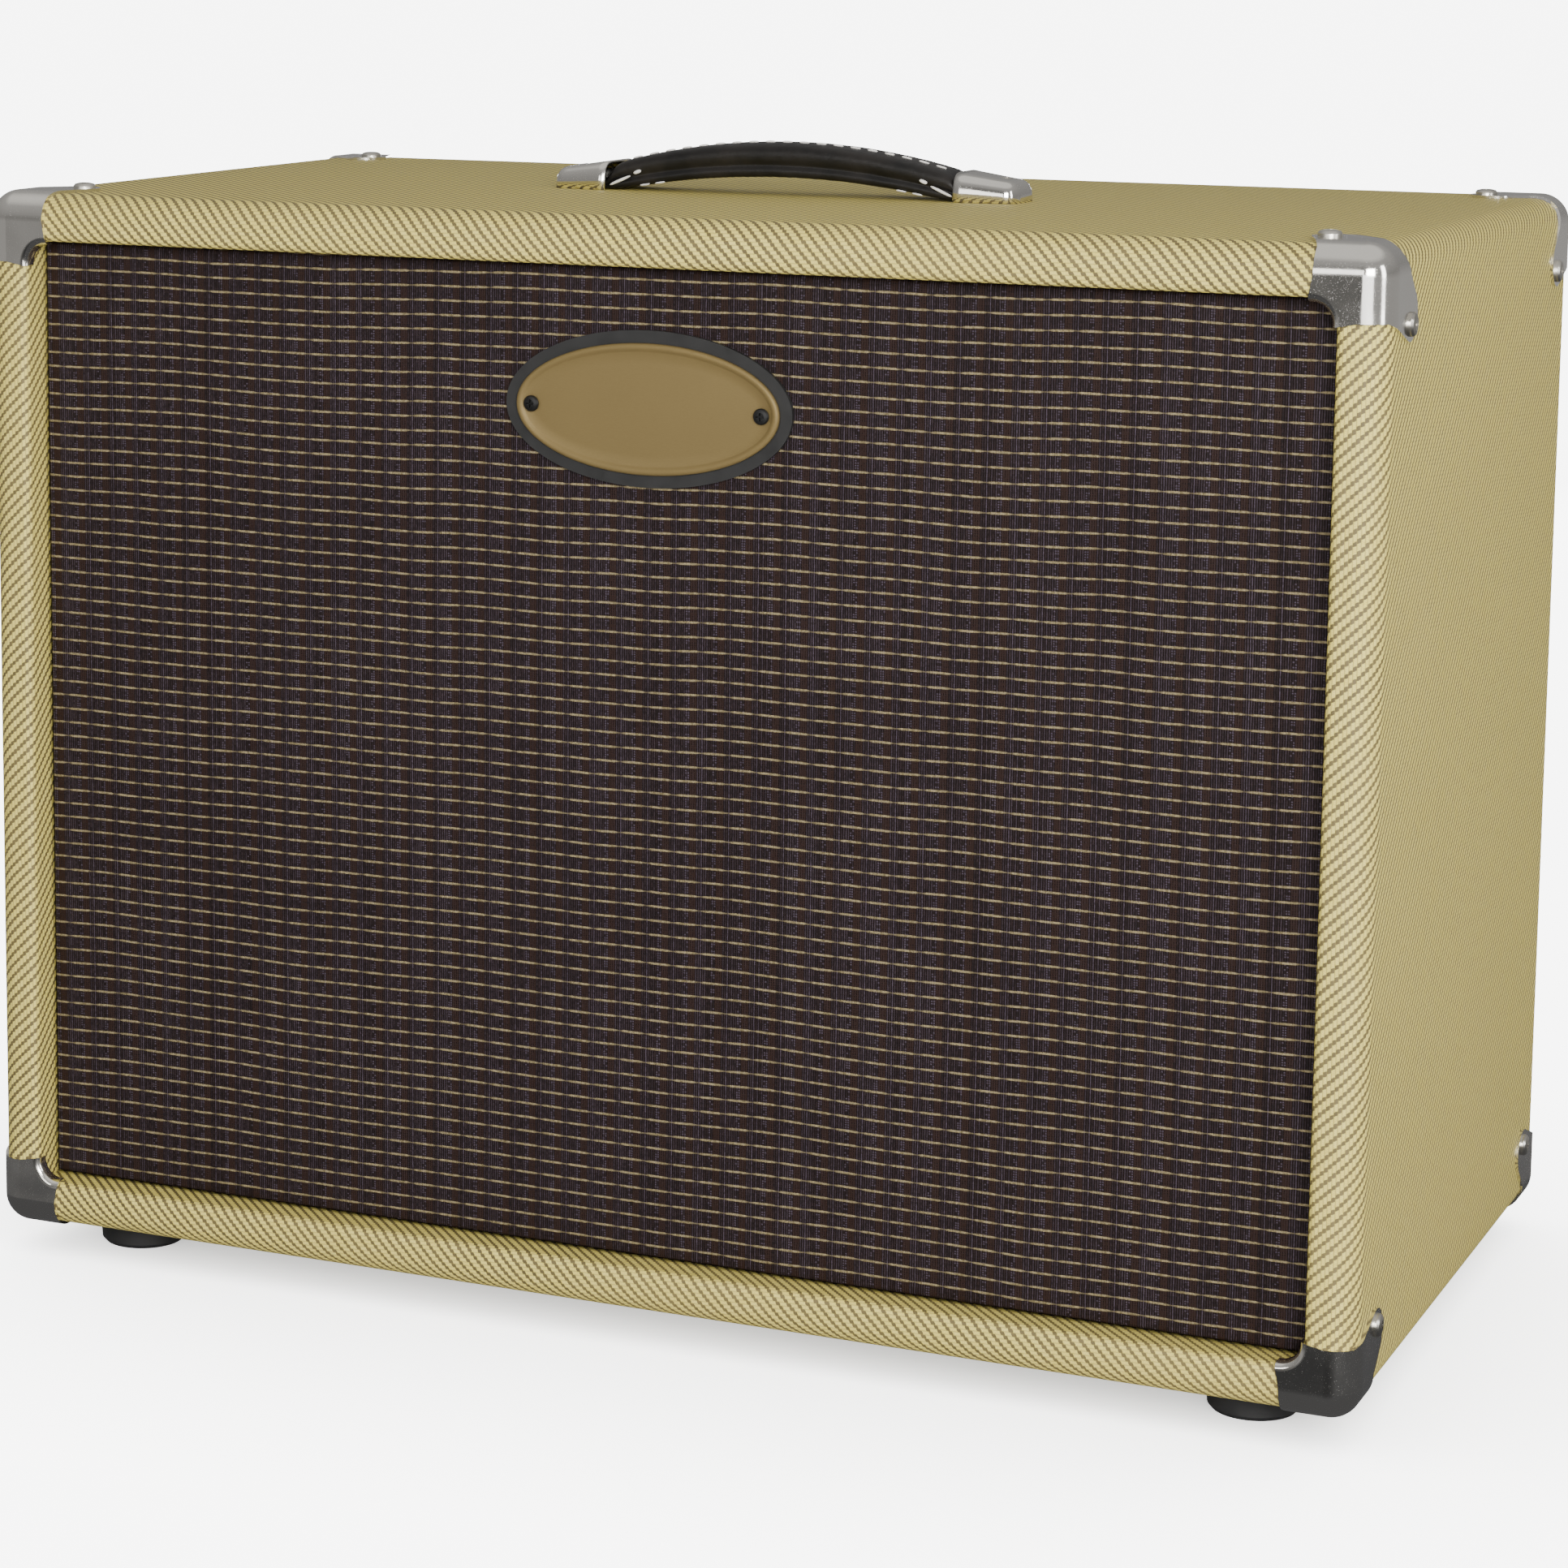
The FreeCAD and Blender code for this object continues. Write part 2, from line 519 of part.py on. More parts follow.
def make_handle():
    lean = cap_slope()
    screws = []
    small = screw("cap_screw", "0.72", "22")
    for side, side_name in ((-1, "left"), (1, "right")):
        name = f"handle_cap_{side_name}"
        outside = tapered(f"{name}_outside", side, "0", "cap_mouth", "cap_mouth + cap_length")
        top = value(TOP_Z)
        cast = rounded(f"{name}_round", outside, "cap_round",
                       lambda edge: edge.BoundBox.ZMax > top + 1 and edge.BoundBox.XLength > 0.01)
        inside = tapered(f"{name}_inside", side, "cap_wall", "cap_mouth - 1",
                         "cap_mouth + cap_length - cap_wall")
        surface = f"{TOP_Z} + cap_end_height + (cap_mouth + cap_length - cap_screw)" \
                  " * (cap_height - cap_end_height) / cap_length"
        spot = (f"{side} * cap_screw", "0", surface)
        outward = FreeCAD.Rotation(BACK, lean * side).multVec(UP)
        hole = rod(f"{name}_hole", "shank_radius * 0.72 + 0.2", "10", spot,
                   FreeCAD.Rotation(UP, -outward))
        node(name, cut(f"{name}_cast", cast, inside, hole))
        screws.append((spot, outward))
    node("handle_screws", copies("handle_screw_set", small, screws))
    make_strap()


def arch(name, half, foot, rise):
    """A rod across the cabinet whose top passes through the foot and the rise of an arch."""
    height = f"({rise} - {foot})"
    radius = f"(({half} ^ 2 + {height} ^ 2) / (2 * {height}))"
    return rod(name, radius, "2 * strap_width", ("0", "-strap_width", f"{TOP_Z} + {rise} - {radius}"),
               TO_BACK)


def make_strap():
    """Leather strap: a padded arch between the caps and a thin tongue inside each of them."""
    wide = both("strap_width / 2")
    span = block("strap_span", both("strap_half"), wide, (TOP_Z, f"{TOP_Z} + strap_rise + 1"))
    over = combine("MultiCommon", "strap_over",
                   [span, arch("strap_top", "strap_half", "strap_shoulder", "strap_rise")])
    bow = cut("strap_bow", over, arch("strap_under", "arch_half", "arch_foot", "arch_rise"))
    low = (f"{TOP_Z} + tongue_low", f"{TOP_Z} + tongue_low + tongue_thick")
    tongues = [block("tongue_left", ("-tongue_half", "-arch_half"), both("tongue_width / 2"), low),
               block("tongue_right", ("arch_half", "tongue_half"), both("tongue_width / 2"), low)]
    node("handle_strap", combine("MultiFuse", "strap", [bow, *tongues]))


def oval(name, border, thick, front_y):
    """An upright oval plate whose back lies on the plane given."""
    edge = new("Part::Ellipse", f"{name}_edge", MajorRadius=f"badge_half_width - {border}",
               MinorRadius=f"badge_half_height - {border}")
    place(edge, ("0", front_y, f"{TOP_Z} - badge_drop - badge_half_height / 2"), TO_FRONT)
    plate = new("Part::Extrusion", name, LengthFwd=thick)
    plate.Base = edge
    plate.DirMode = "Custom"
    plate.Dir = -BACK
    plate.Solid = True
    return plate


def make_badge():
    height = f"{TOP_Z} - badge_drop - badge_half_height / 2"
    shrink = "badge_screw_shrink"
    back_face = f"({CLOTH_Y} - glue_gap)"
    plate_face = f"({back_face} - backing_thick)"
    front = f"({plate_face} - badge_thick)"
    spots = [(f"{side} * badge_screw", front, height) for side in (-1, 1)]
    small = screw("badge_screw_master", shrink, "12")
    cutter = drill("badge_drill", f"shank_radius * {shrink} + 0.2")
    holes = copies("badge_holes", cutter, [(spot, -BACK) for spot in spots])
    backing = oval("badge_oval_backing", "0", "backing_thick", back_face)
    plaque = oval("badge_oval_plate", "badge_border", "badge_thick", plate_face)
    node("badge_backing", cut("backing_drilled", backing, holes))
    node("badge_plate", cut("plaque_drilled", plaque, holes))
    node("badge_screws", copies("badge_screw_set", small, [(spot, -BACK) for spot in spots]))


# ---------------------------------------------------------------- loudspeaker

SPEAKER = ("0", BAFFLE_BACK, "speaker_height")


def speaker_part(name, points):
    """A turned piece of the loudspeaker: radii, and depths behind the baffle."""
    return turned(name, points, SPEAKER, TO_BACK)


def bolt_places(depth):
    places = []
    for number in range(int(SIZES["bolt_count"])):
        angle = f"({number} + 0.5) * 360 / bolt_count"
        spot = (f"bolt_circle * cos({angle})", f"{BAFFLE_BACK} + {depth}",
                f"speaker_height + bolt_circle * sin({angle})")
        places.append((spot, BACK))
    return places


def make_basket():
    """Pressed steel frame: bolt flange, cone-shaped wall with windows, ring for the magnet."""
    back = "(gasket_thick + frame_thick)"
    pressing = speaker_part("basket_pressing", [
        ("cutout_radius", "gasket_thick"), ("frame_radius", "gasket_thick"), ("frame_radius", back),
        ("cutout_radius + frame_wall", back), ("cutout_radius - 1.1", "25"),
        ("waist_radius", "ring_depth - 4.5"), ("waist_radius", "ring_depth"),
        ("magnet_hole", "ring_depth"), ("magnet_hole", "ring_depth - frame_thick"),
        ("waist_radius - frame_wall", "ring_depth - frame_thick"),
        ("waist_radius - frame_wall", "ring_depth - 5.6"), ("cutout_radius - 3", "24")])
    windows = []
    for number in range(int(SIZES["window_count"])):
        window = new("Part::Wedge", f"basket_window_{number}", Ymin="waist_radius + 6",
                     Ymax="frame_radius - 24", Xmin="-17", Xmax="17", X2min="-36", X2max="36",
                     Zmin="20", Zmax="ring_depth", Z2min="20", Z2max="ring_depth")
        turn = TO_BACK.multiply(FreeCAD.Rotation(UP, 360 * number / SIZES["window_count"]))
        windows.append(place(window, SPEAKER, turn))
    return cut("basket_with_windows", pressing, *windows)


def make_suspension():
    """Pleated paper edge and corrugated spider, which carry the cone."""
    rim = "(cutout_radius - 2)"
    near = "surround_depth"
    far = "(surround_depth + pleat_height)"
    front = [("cutout_radius + 3.6", near)]
    for number in range(6):
        front.append((f"{rim} - {number} * pleat_width", near if number % 2 == 0 else far))
    front.append(("cone_radius + 0.3", near))
    back = [(radius, f"{depth} + surround_thick") for radius, depth in reversed(front)]
    node("speaker_surround", speaker_part("surround", front + back))

    low = "(ring_depth - frame_thick - spider_thick)"
    front = [("waist_radius - frame_wall - 0.4", low), ("waist_radius - 10", low)]
    for number in range(7):
        front.append((f"62 - {number} * 5", f"{low} - 11 + {number % 2} * 3"))
    front.append(("coil_radius + 0.2", f"{low} - 11"))
    back = [(radius, f"{depth} + spider_thick") for radius, depth in reversed(front)]
    node("spider", speaker_part("spider_disc", front + back))


def make_cone():
    """The cone, its dust cap and the voice coil move together along the loudspeaker's axis."""
    edge = "(surround_depth + surround_thick + 0.4)"
    neck = "54.4"
    node("speaker_cone", speaker_part("cone", [
        ("cone_radius", edge), ("cone_radius", f"{edge} + cone_thick"),
        ("coil_radius + 0.1", f"{neck} + cone_thick"), ("coil_radius + 0.1", neck)]))
    centre = ("0", f"{BAFFLE_BACK} + dome_centre", "speaker_height")
    dome = cut("dome_shell", ball("dome_outer", "dome_radius", centre),
               ball("dome_inner", "dome_radius - dome_thick", centre))
    gauge = rod("dome_gauge", "dome_rim", "dome_radius",
                ("0", f"{BAFFLE_BACK} + dome_centre - dome_radius - 1", "speaker_height"), TO_BACK)
    node("dust_cap", combine("MultiCommon", "dome", [dome, gauge]))
    winding = "(coil_radius + 0.8)"
    node("voice_coil", speaker_part("coil", [
        ("coil_radius - 0.6", "50"), ("coil_radius", "50"), ("coil_radius", "ring_depth - 0.5"),
        (winding, "ring_depth - 0.5"), (winding, "ring_depth + 7.5"),
        ("coil_radius", "ring_depth + 7.5"), ("coil_radius", "ring_depth + 9"),
        ("coil_radius - 0.6", "ring_depth + 9")]))


def make_motor():
    """Steel top plate, ceramic ring magnet, and the yoke with its pole piece."""
    top = "(ring_depth + top_plate_thick)"
    bottom = f"({top} + magnet_thick)"
    gap = "(coil_radius + 0.8 + coil_gap)"
    node("speaker_top_plate", speaker_part("top_plate_ring", [
        (gap, "ring_depth"), ("plate_radius", "ring_depth"), ("plate_radius", top), (gap, top)]))
    node("speaker_magnet", speaker_part("magnet_ring", [
        ("magnet_hole", top), ("magnet_radius - 1.5", top), ("magnet_radius", f"{top} + 1.5"),
        ("magnet_radius", f"{bottom} - 1.5"), ("magnet_radius - 1.5", bottom), ("magnet_hole", bottom)]))
    node("speaker_yoke", speaker_part("yoke", [
        ("vent_radius", "ring_depth - 2"), ("pole_radius", "ring_depth - 2"), ("pole_radius", bottom),
        ("plate_radius", bottom), ("plate_radius", f"{bottom} + yoke_thick - 3"),
        ("plate_radius - 4", f"{bottom} + yoke_thick"), ("vent_radius", f"{bottom} + yoke_thick")]))


def make_speaker():
    basket = make_basket()
    holes = copies("flange_holes", drill("flange_drill", "shank_radius + 0.6"), bolt_places("0"))
    node("speaker_basket", cut("basket_drilled", basket, holes))
    gasket = speaker_part("gasket_ring", [
        ("cutout_radius + 3.8", "0"), ("frame_radius", "0"), ("frame_radius", "gasket_thick"),
        ("cutout_radius + 3.8", "gasket_thick")])
    node("speaker_gasket", cut("gasket_drilled", gasket, holes))
    node("speaker_bolts", copies("bolt_set", screw("bolt_master", "1", "gasket_thick + frame_thick + 11"),
                                 bolt_places("gasket_thick + frame_thick")))
    make_suspension()
    make_cone()
    make_motor()
    board_y = (f"{BAFFLE_BACK} + ring_depth", f"{BAFFLE_BACK} + ring_depth + 2")
    low = "(speaker_height + plate_radius + 1)"
    lug_y = (board_y[1], f"{board_y[1]} + 0.8")
    pieces = [block("tag_board", both("14"), board_y, (low, f"{low} + 24"))]
    for name, span in (("tag_left", ("-8", "-1.5")), ("tag_right", ("1.5", "8"))):
        pieces.append(block(name, span, lug_y, (f"{low} + 8", f"{low} + 30")))
    node("speaker_terminals", combine("Compound", "terminals", pieces))


# ---------------------------------------------------------------- chassis and controls

def control_spot(across, out="0"):
    """A spot on the control plate's face, in the row of controls."""
    return across, f"{CONTROL_Y} + {out}", "control_row"


def knob_places():
    return {name: f"volume_place - {number} * knob_pitch"
            for number, name in enumerate(("volume_knob", "treble_knob", "bass_knob"))}


def jack_places():
    return ["input_place", "input_place - input_pitch", "speaker_jack_place"]


def control_holes():
    """Holes through the control plate and the chassis wall behind it."""
    rows = [(across, "5") for across in list(knob_places().values()) + jack_places()]
    rows += [("standby_place", "6.2"), ("power_place", "6.2"), ("lamp_place", "7.3")]
    tools = [rod(f"control_hole_{number}", radius, "20", control_spot(across, "-10"), TO_BACK)
             for number, (across, radius) in enumerate(rows)]
    tools.append(block("inlet_hole", around("inlet_place", "inlet_width / 2 + 0.3"),
                       around(CONTROL_Y, "10"), around("control_row", "inlet_height / 2 + 0.3")))
    return combine("Compound", "control_hole_set", tools)


def make_chassis():
    """Tray of sheet steel, one sheet for each face, and the control plate behind it."""
    holes = control_holes()
    floor_top = "(chassis_low + sheet_thick)"
    inner_front = "(chassis_front + sheet_thick)"
    inner_back = f"({PANEL_Y} - sheet_thick)"
    wide = both("chassis_half")
    upright = (floor_top, "chassis_high")
    floor = block("chassis_floor", wide, ("chassis_front", PANEL_Y), ("chassis_low", floor_top))
    exit_hole = rod("lead_hole", "lead_radius + 0.3", "20", ("lead_place", "lead_row", "chassis_low - 10"))
    back = block("chassis_back", wide, (inner_back, PANEL_Y), upright)
    sheets = [cut("chassis_floor_drilled", floor, exit_hole), cut("chassis_back_drilled", back, holes),
              block("chassis_front_wall", wide, ("chassis_front", inner_front), upright)]
    for name, ends in (("left", ("-chassis_half", "sheet_thick - chassis_half")),
                       ("right", ("chassis_half - sheet_thick", "chassis_half"))):
        sheets.append(block(f"chassis_end_{name}", ends, (inner_front, inner_back), upright))
    node("chassis", combine("Compound", "chassis_tray", sheets))

    plate = block("control_sheet", both(f"({OPEN_X} - control_margin)"), (PANEL_Y, CONTROL_Y),
                  ("control_low", "control_high"))
    cutter = drill("control_drill", "shank_radius + 0.3")
    screw_holes = copies("control_screw_holes", cutter, back_screw_places())
    node("control_plate", cut("control_plate_drilled", plate, holes, screw_holes))


def make_controls():
    bore = "(spindle_radius + spindle_play)"
    wall = "(-2 * sheet_thick)"
    pot = turned("pot_master", [
        (bore, f"{wall} - 11"), (bore, "2.8"), ("4.7", "2.8"), ("4.7", "2.4"), ("7", "2.4"), ("7", "0"),
        ("4.7", "0"), ("4.7", wall), ("12", wall), ("12", f"{wall} - 12.4"), ("0", f"{wall} - 12.4"),
        ("0", f"{wall} - 11")])
    spots = [(control_spot(across), BACK) for across in knob_places().values()]
    node("potentiometers", copies("pot_set", pot, spots))
    for name, across in knob_places().items():
        make_knob(name, across)

    jack = turned("jack_master", [
        ("jack_bore", "-jack_depth"), ("jack_bore", "3"), ("4.7", "3"), ("4.7", "2.4"), ("8", "2.4"),
        ("8", "0"), ("4.7", "0"), ("4.7", wall), ("9", wall), ("9", "-jack_depth - 2"),
        ("0", "-jack_depth - 2"), ("0", "-jack_depth")])
    node("jack_sockets", copies("jack_set", jack, [(control_spot(x), BACK) for x in jack_places()]))

    lamp = turned("lamp_body", [
        ("0", "-25"), ("7", "-25"), ("7", "0"), ("8.8", "0"), ("8.8", "2.2"), ("7.4", "3.2"),
        ("6.8", "5.4"), ("4.8", "7.4"), ("2.4", "8.2"), ("0", "8.4")], control_spot("lamp_place"), TO_BACK)
    node("pilot_lamp", lamp)
    make_toggles(wall)
    make_inlet()


def make_knob(name, across):
    """Pointer knob, pressed on the spindle that turns inside its potentiometer."""
    grip = turned(f"{name}_grip", [
        ("0", "-2 * sheet_thick - 10"), ("spindle_radius", "-2 * sheet_thick - 10"),
        ("spindle_radius", "5"), ("7.8", "5"), ("7.8", "knob_gap"), ("knob_radius", "knob_gap"),
        ("knob_radius", "3"), ("knob_radius - 1.4", "5.5"), ("knob_radius - 1.8", "knob_height - 1.5"),
        ("knob_radius - 2.8", "knob_height"), ("0", "knob_height")], control_spot(across), TO_BACK)
    pointer = new("Part::Wedge", f"{name}_pointer", Ymin="8", Ymax="pointer_reach", Xmin="-3.4",
                  Xmax="3.4", X2min="-1.2", X2max="1.2", Zmin="knob_gap", Zmax="knob_height",
                  Z2min="knob_gap", Z2max="knob_height - 5")
    upright = TO_BACK.multiply(FreeCAD.Rotation(UP, 180))
    place(pointer, control_spot(across), upright)
    node(name, combine("MultiFuse", f"{name}_solid", [grip, pointer]))


def make_toggles(wall):
    switch = turned("switch_bush", [
        ("3.6", "-1"), ("3.6", "7.5"), ("5.9", "7.5"), ("5.9", "2.2"), ("8.3", "2.2"), ("8.3", "0"),
        ("5.9", "0"), ("5.9", wall), ("0", wall), ("0", "-1")])
    housing = block("switch_housing", both("6.5"), both("14"), (f"{wall} - 24", wall))
    master = combine("MultiFuse", "switch_master", [switch, housing])
    places = {"standby_toggle": "standby_place", "power_toggle": "power_place"}
    node("toggle_switches", copies("switch_set", master,
                                   [(control_spot(across), BACK) for across in places.values()]))
    lean = math.radians(SIZES["bat_lean"])
    aim = FreeCAD.Vector(0, math.cos(lean), -math.sin(lean))
    for name, across in places.items():
        pivot = control_spot(across, "bat_pivot")
        tip = (across, f"{CONTROL_Y} + bat_pivot + bat_length * cos(bat_lean)",
               "control_row - bat_length * sin(bat_lean)")
        stem = new("Part::Cone", f"{name}_stem", Radius1="1.4", Radius2="2.5", Height="bat_length")
        place(stem, pivot, FreeCAD.Rotation(UP, aim))
        pieces = [stem, ball(f"{name}_ball", "2.4", pivot), ball(f"{name}_tip", "2.6", tip)]
        node(name, combine("MultiFuse", f"{name}_bat", pieces))


def make_inlet():
    """Snap-in mains inlet: a flange, a body behind it and three blades in its socket."""
    front = f"({CONTROL_Y} + inlet_flange)"
    flange = block("inlet_flange_plate", around("inlet_place", "inlet_width / 2 + 2"), (CONTROL_Y, front),
                   around("control_row", "inlet_height / 2 + 2"))
    body = block("inlet_body", around("inlet_place", "inlet_width / 2"),
                 (f"{CONTROL_Y} - inlet_depth", CONTROL_Y), around("control_row", "inlet_height / 2"))
    cavity = block("inlet_cavity", around("inlet_place", "socket_width / 2"),
                   (f"{front} - socket_depth", f"{front} + 1"), around("control_row", "socket_height / 2"))
    shell = cut("inlet_shell", combine("MultiFuse", "inlet_solid", [flange, body]), cavity)
    blades = []
    for number, (across, lift) in enumerate(((-7, -1), (0, 3), (7, -1))):
        blades.append(block(f"inlet_blade_{number}", around(f"inlet_place + {across}", "1"),
                            (f"{front} - socket_depth - 1", f"{front} - 3"),
                            around(f"control_row + {lift}", "2")))
    node("mains_inlet", combine("MultiFuse", "inlet", [shell, *blades]))


# ---------------------------------------------------------------- inside the chassis

def valve(name, length):
    """Glass envelope with a domed top, standing base down on its origin."""
    return turned(name, [
        ("0", "0"), ("valve_radius", "0"), ("valve_radius", f"{length} - 9"),
        ("valve_radius - 3", f"{length} - 4.5"), ("3", f"{length} - 2.5"), ("1.6", length), ("0", length)])


def make_valves():
    spots = [(f"valve_first - {number} * valve_pitch", "valve_row", "chassis_low") for number in range(4)]
    socket = rod("valve_socket", "valve_radius + 1.4", "valve_base", ("0", "0", "0"))
    node("valve_sockets", copies("valve_socket_set", socket, [(spot, -UP) for spot in spots]))
    hung = [((x, y, f"{z} - valve_base"), -UP) for x, y, z in spots]
    small = copies("small_valve_pair", valve("small_valve_master", "small_valve"), hung[:2])
    power = copies("power_valve_pair", valve("power_valve_master", "power_valve"), hung[2:])
    node("valves", combine("Compound", "valve_set", [small, power]))


def transformer(name, across, width, height):
    """Laminated core hung under the chassis, with a pressed cover on each side of it."""
    low = f"(chassis_low - {height})"
    core = block(f"{name}_core", around(across, f"{width} / 2"),
                 around("transformer_row", f"{width} / 4"), (low, "chassis_low"))
    pieces = [core]
    for side in (-1, 1):
        near = f"transformer_row + {side} * {width} / 4"
        far = f"transformer_row + {side} * ({width} / 4 + {width} / 6)"
        span = (near, far) if side > 0 else (far, near)
        cover = block(f"{name}_cover_{side + 1}", around(across, f"{width} / 2 - 5"), span,
                      (f"{low} + 5", "chassis_low - 5"))
        outer_y = value(far)
        pieces.append(rounded(f"{name}_bell_{side + 1}", cover, "5",
                              lambda edge, y=outer_y: abs(edge.CenterOfMass.y - y) < 0.01))
    return combine("Compound", name, pieces)


def make_electronics():
    make_valves()
    node("power_transformer", transformer("mains_transformer", "mains_place",
                                          "mains_core_width", "mains_core_height"))
    node("output_transformer", transformer("speaker_transformer", "output_place",
                                           "output_core_width", "output_core_height"))
    floor = "(chassis_low + sheet_thick)"
    deck = f"({floor} + board_lift)"
    pieces = [block("board", ("board_left", "board_right"), ("board_front", "board_back"),
                    (deck, f"{deck} + sheet_thick"))]
    for number, (x, y) in enumerate((x, y) for x in ("board_left + 8", "board_right - 8")
                                    for y in ("board_front + 8", "board_back - 8")):
        pieces.append(rod(f"board_post_{number}", "3", "board_lift", (x, y, floor)))
    node("circuit_board", combine("Compound", "board_and_posts", pieces))

    parts = []
    along_x = FreeCAD.Rotation(BACK, 90)
    for line, (radius, length) in enumerate((("6", "30"), ("3.5", "22"), ("5", "26"))):
        for number in range(6):
            spot = (f"board_left + 10 + {number} * 40", f"board_front + 12 + {line} * 18",
                    f"{deck} + sheet_thick + {radius}")
            parts.append(rod(f"component_{line}_{number}", radius, length, spot, along_x))
    node("board_components", combine("Compound", "components", parts))
    make_lead()


def rounded_path(points, share=0.45):
    """Straight runs joined by tangent arcs, each as large as its two runs allow."""
    edges = []
    start = points[0]
    for before, corner, after in zip(points, points[1:], points[2:]):
        arriving = (corner - before).normalize()
        leaving = (after - corner).normalize()
        turn = arriving.getAngle(leaving)
        reach = share * min(before.distanceToPoint(corner), corner.distanceToPoint(after))
        radius = reach / math.tan(turn / 2)
        print(f"lead bend radius {radius:.1f} mm")
        first = corner - arriving * reach
        last = corner + leaving * reach
        to_centre = (leaving - arriving).normalize()
        middle = corner + to_centre * (radius / math.cos(turn / 2) - radius)
        edges.append(Part.LineSegment(start, first).toShape())
        edges.append(Part.Arc(first, middle, last).toShape())
        start = last
    edges.append(Part.LineSegment(start, points[-1]).toShape())
    return Part.Wire(edges)


def make_lead():
    """Two-core lead from the chassis floor to the loudspeaker's terminals."""
    x, y = value("lead_place"), value("lead_row")
    tag_y = value(f"{BAFFLE_BACK} + ring_depth + 2.8")
    tag_z = value("speaker_height + plate_radius + 18")
    route = [FreeCAD.Vector(x, y, value("chassis_low + 5")), FreeCAD.Vector(x, y, tag_z + 22),
             FreeCAD.Vector(0, tag_y + value("lead_run"), tag_z), FreeCAD.Vector(0, tag_y, tag_z)]
    path = rounded_path(route)
    radius = value("lead_radius")
    ring = Part.Wire(Part.makeCircle(radius, route[0], UP))
    tube = path.makePipeShell([ring], True, True)
    print(f"lead length {path.Length:.1f} mm, volume ratio "
          f"{tube.Volume / (math.pi * radius ** 2 * path.Length):.4f}")
    lead = doc.addObject("Part::Feature", "lead")
    lead.Shape = tube
    node("speaker_lead", lead)


def check_and_write():
    doc.recompute()
    faults = [obj.Name for obj in doc.Objects if {"Invalid", "Error"} & set(obj.State)]
    for name, obj in nodes.items():
        if obj.Shape.isNull() or not obj.Shape.isValid() or not obj.Shape.Solids:
            faults.append(name)
    if faults:
        raise RuntimeError(f"not built: {faults}")
    os.makedirs("parts", exist_ok=True)
    for name, obj in nodes.items():
        obj.Shape.exportStep(f"parts/{name}.step")
    print(f"{len(nodes)} sub-parts, {sum(len(obj.Shape.Solids) for obj in nodes.values())} solids")


make_cabinet()
make_back_panels()
make_fasteners_and_feet()
make_corner_plates()
make_handle()
make_badge()
make_speaker()
make_chassis()
make_controls()
make_electronics()
check_and_write()
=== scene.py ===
"""Looks of a tweed-covered open-back combo guitar amplifier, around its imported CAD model.

Lengths are metres. The grille faces -Y, +Z is up and the floor is at z = 0.
"""
import math

import bpy
from mathutils import Matrix, Vector, noise


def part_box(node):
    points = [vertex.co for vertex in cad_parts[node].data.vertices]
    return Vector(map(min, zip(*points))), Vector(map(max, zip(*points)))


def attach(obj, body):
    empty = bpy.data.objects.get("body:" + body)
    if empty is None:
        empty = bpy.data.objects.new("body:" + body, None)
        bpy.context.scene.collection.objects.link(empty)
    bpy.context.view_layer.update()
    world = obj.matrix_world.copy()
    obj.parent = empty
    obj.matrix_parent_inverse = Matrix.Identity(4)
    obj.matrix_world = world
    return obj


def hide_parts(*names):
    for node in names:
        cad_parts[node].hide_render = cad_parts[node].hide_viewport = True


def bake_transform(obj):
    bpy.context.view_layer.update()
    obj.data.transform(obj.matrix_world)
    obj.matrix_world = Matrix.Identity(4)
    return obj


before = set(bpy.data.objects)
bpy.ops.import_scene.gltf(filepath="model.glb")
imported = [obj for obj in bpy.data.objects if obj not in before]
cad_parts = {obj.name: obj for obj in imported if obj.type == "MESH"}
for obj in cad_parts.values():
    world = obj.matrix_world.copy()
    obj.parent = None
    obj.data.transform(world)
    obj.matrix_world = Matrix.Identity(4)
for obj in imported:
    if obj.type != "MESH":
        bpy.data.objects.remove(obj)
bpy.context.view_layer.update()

MM = 0.001
CABINET = "cabinet"
low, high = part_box("tweed_covering")
HALF_X = (high.x - low.x) / 2
HALF_Y = (high.y - low.y) / 2
HALF_Z = (high.z - low.z) / 2
MIDDLE_Z = (high.z + low.z) / 2
TOP_Z = high.z
WHITE = 7.5             # radiance of the backdrop, to the camera only
ROW_Z = (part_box("jack_sockets")[0].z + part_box("jack_sockets")[1].z) / 2
KNOBS = ("volume_knob", "treble_knob", "bass_knob")


# ---------------------------------------------------------------- camera and light

CAMERA_SPOT = (0.65368, -1.6448, 0.5705)
CAMERA_TURN = (0.41637, 0.14709, 0.00718)       # yaw, pitch and roll, in radians
CAMERA_LENS = 96.528
CAMERA_SHIFT = (0.10, -0.16)


def make_camera():
    """The camera stands to the right of the amplifier and looks at it slightly from above."""
    yaw, pitch, roll = CAMERA_TURN
    ahead = Vector((-math.sin(yaw), math.cos(yaw), 0))
    side = Vector((math.cos(yaw), math.sin(yaw), 0))
    up = Vector((0, 0, 1))
    aim = ahead * math.cos(pitch) - up * math.sin(pitch)
    rise = up * math.cos(pitch) + ahead * math.sin(pitch)
    right = side * math.cos(roll) + rise * math.sin(roll)
    top = rise * math.cos(roll) - side * math.sin(roll)
    camera = bpy.data.objects.new("camera", bpy.data.cameras.new("camera"))
    bpy.context.scene.collection.objects.link(camera)
    turn = Matrix((right, top, -aim)).transposed()
    camera.matrix_world = Matrix.Translation(CAMERA_SPOT) @ turn.to_4x4()
    camera.data.lens = CAMERA_LENS
    camera.data.shift_x, camera.data.shift_y = CAMERA_SHIFT
    bpy.context.scene.camera = camera


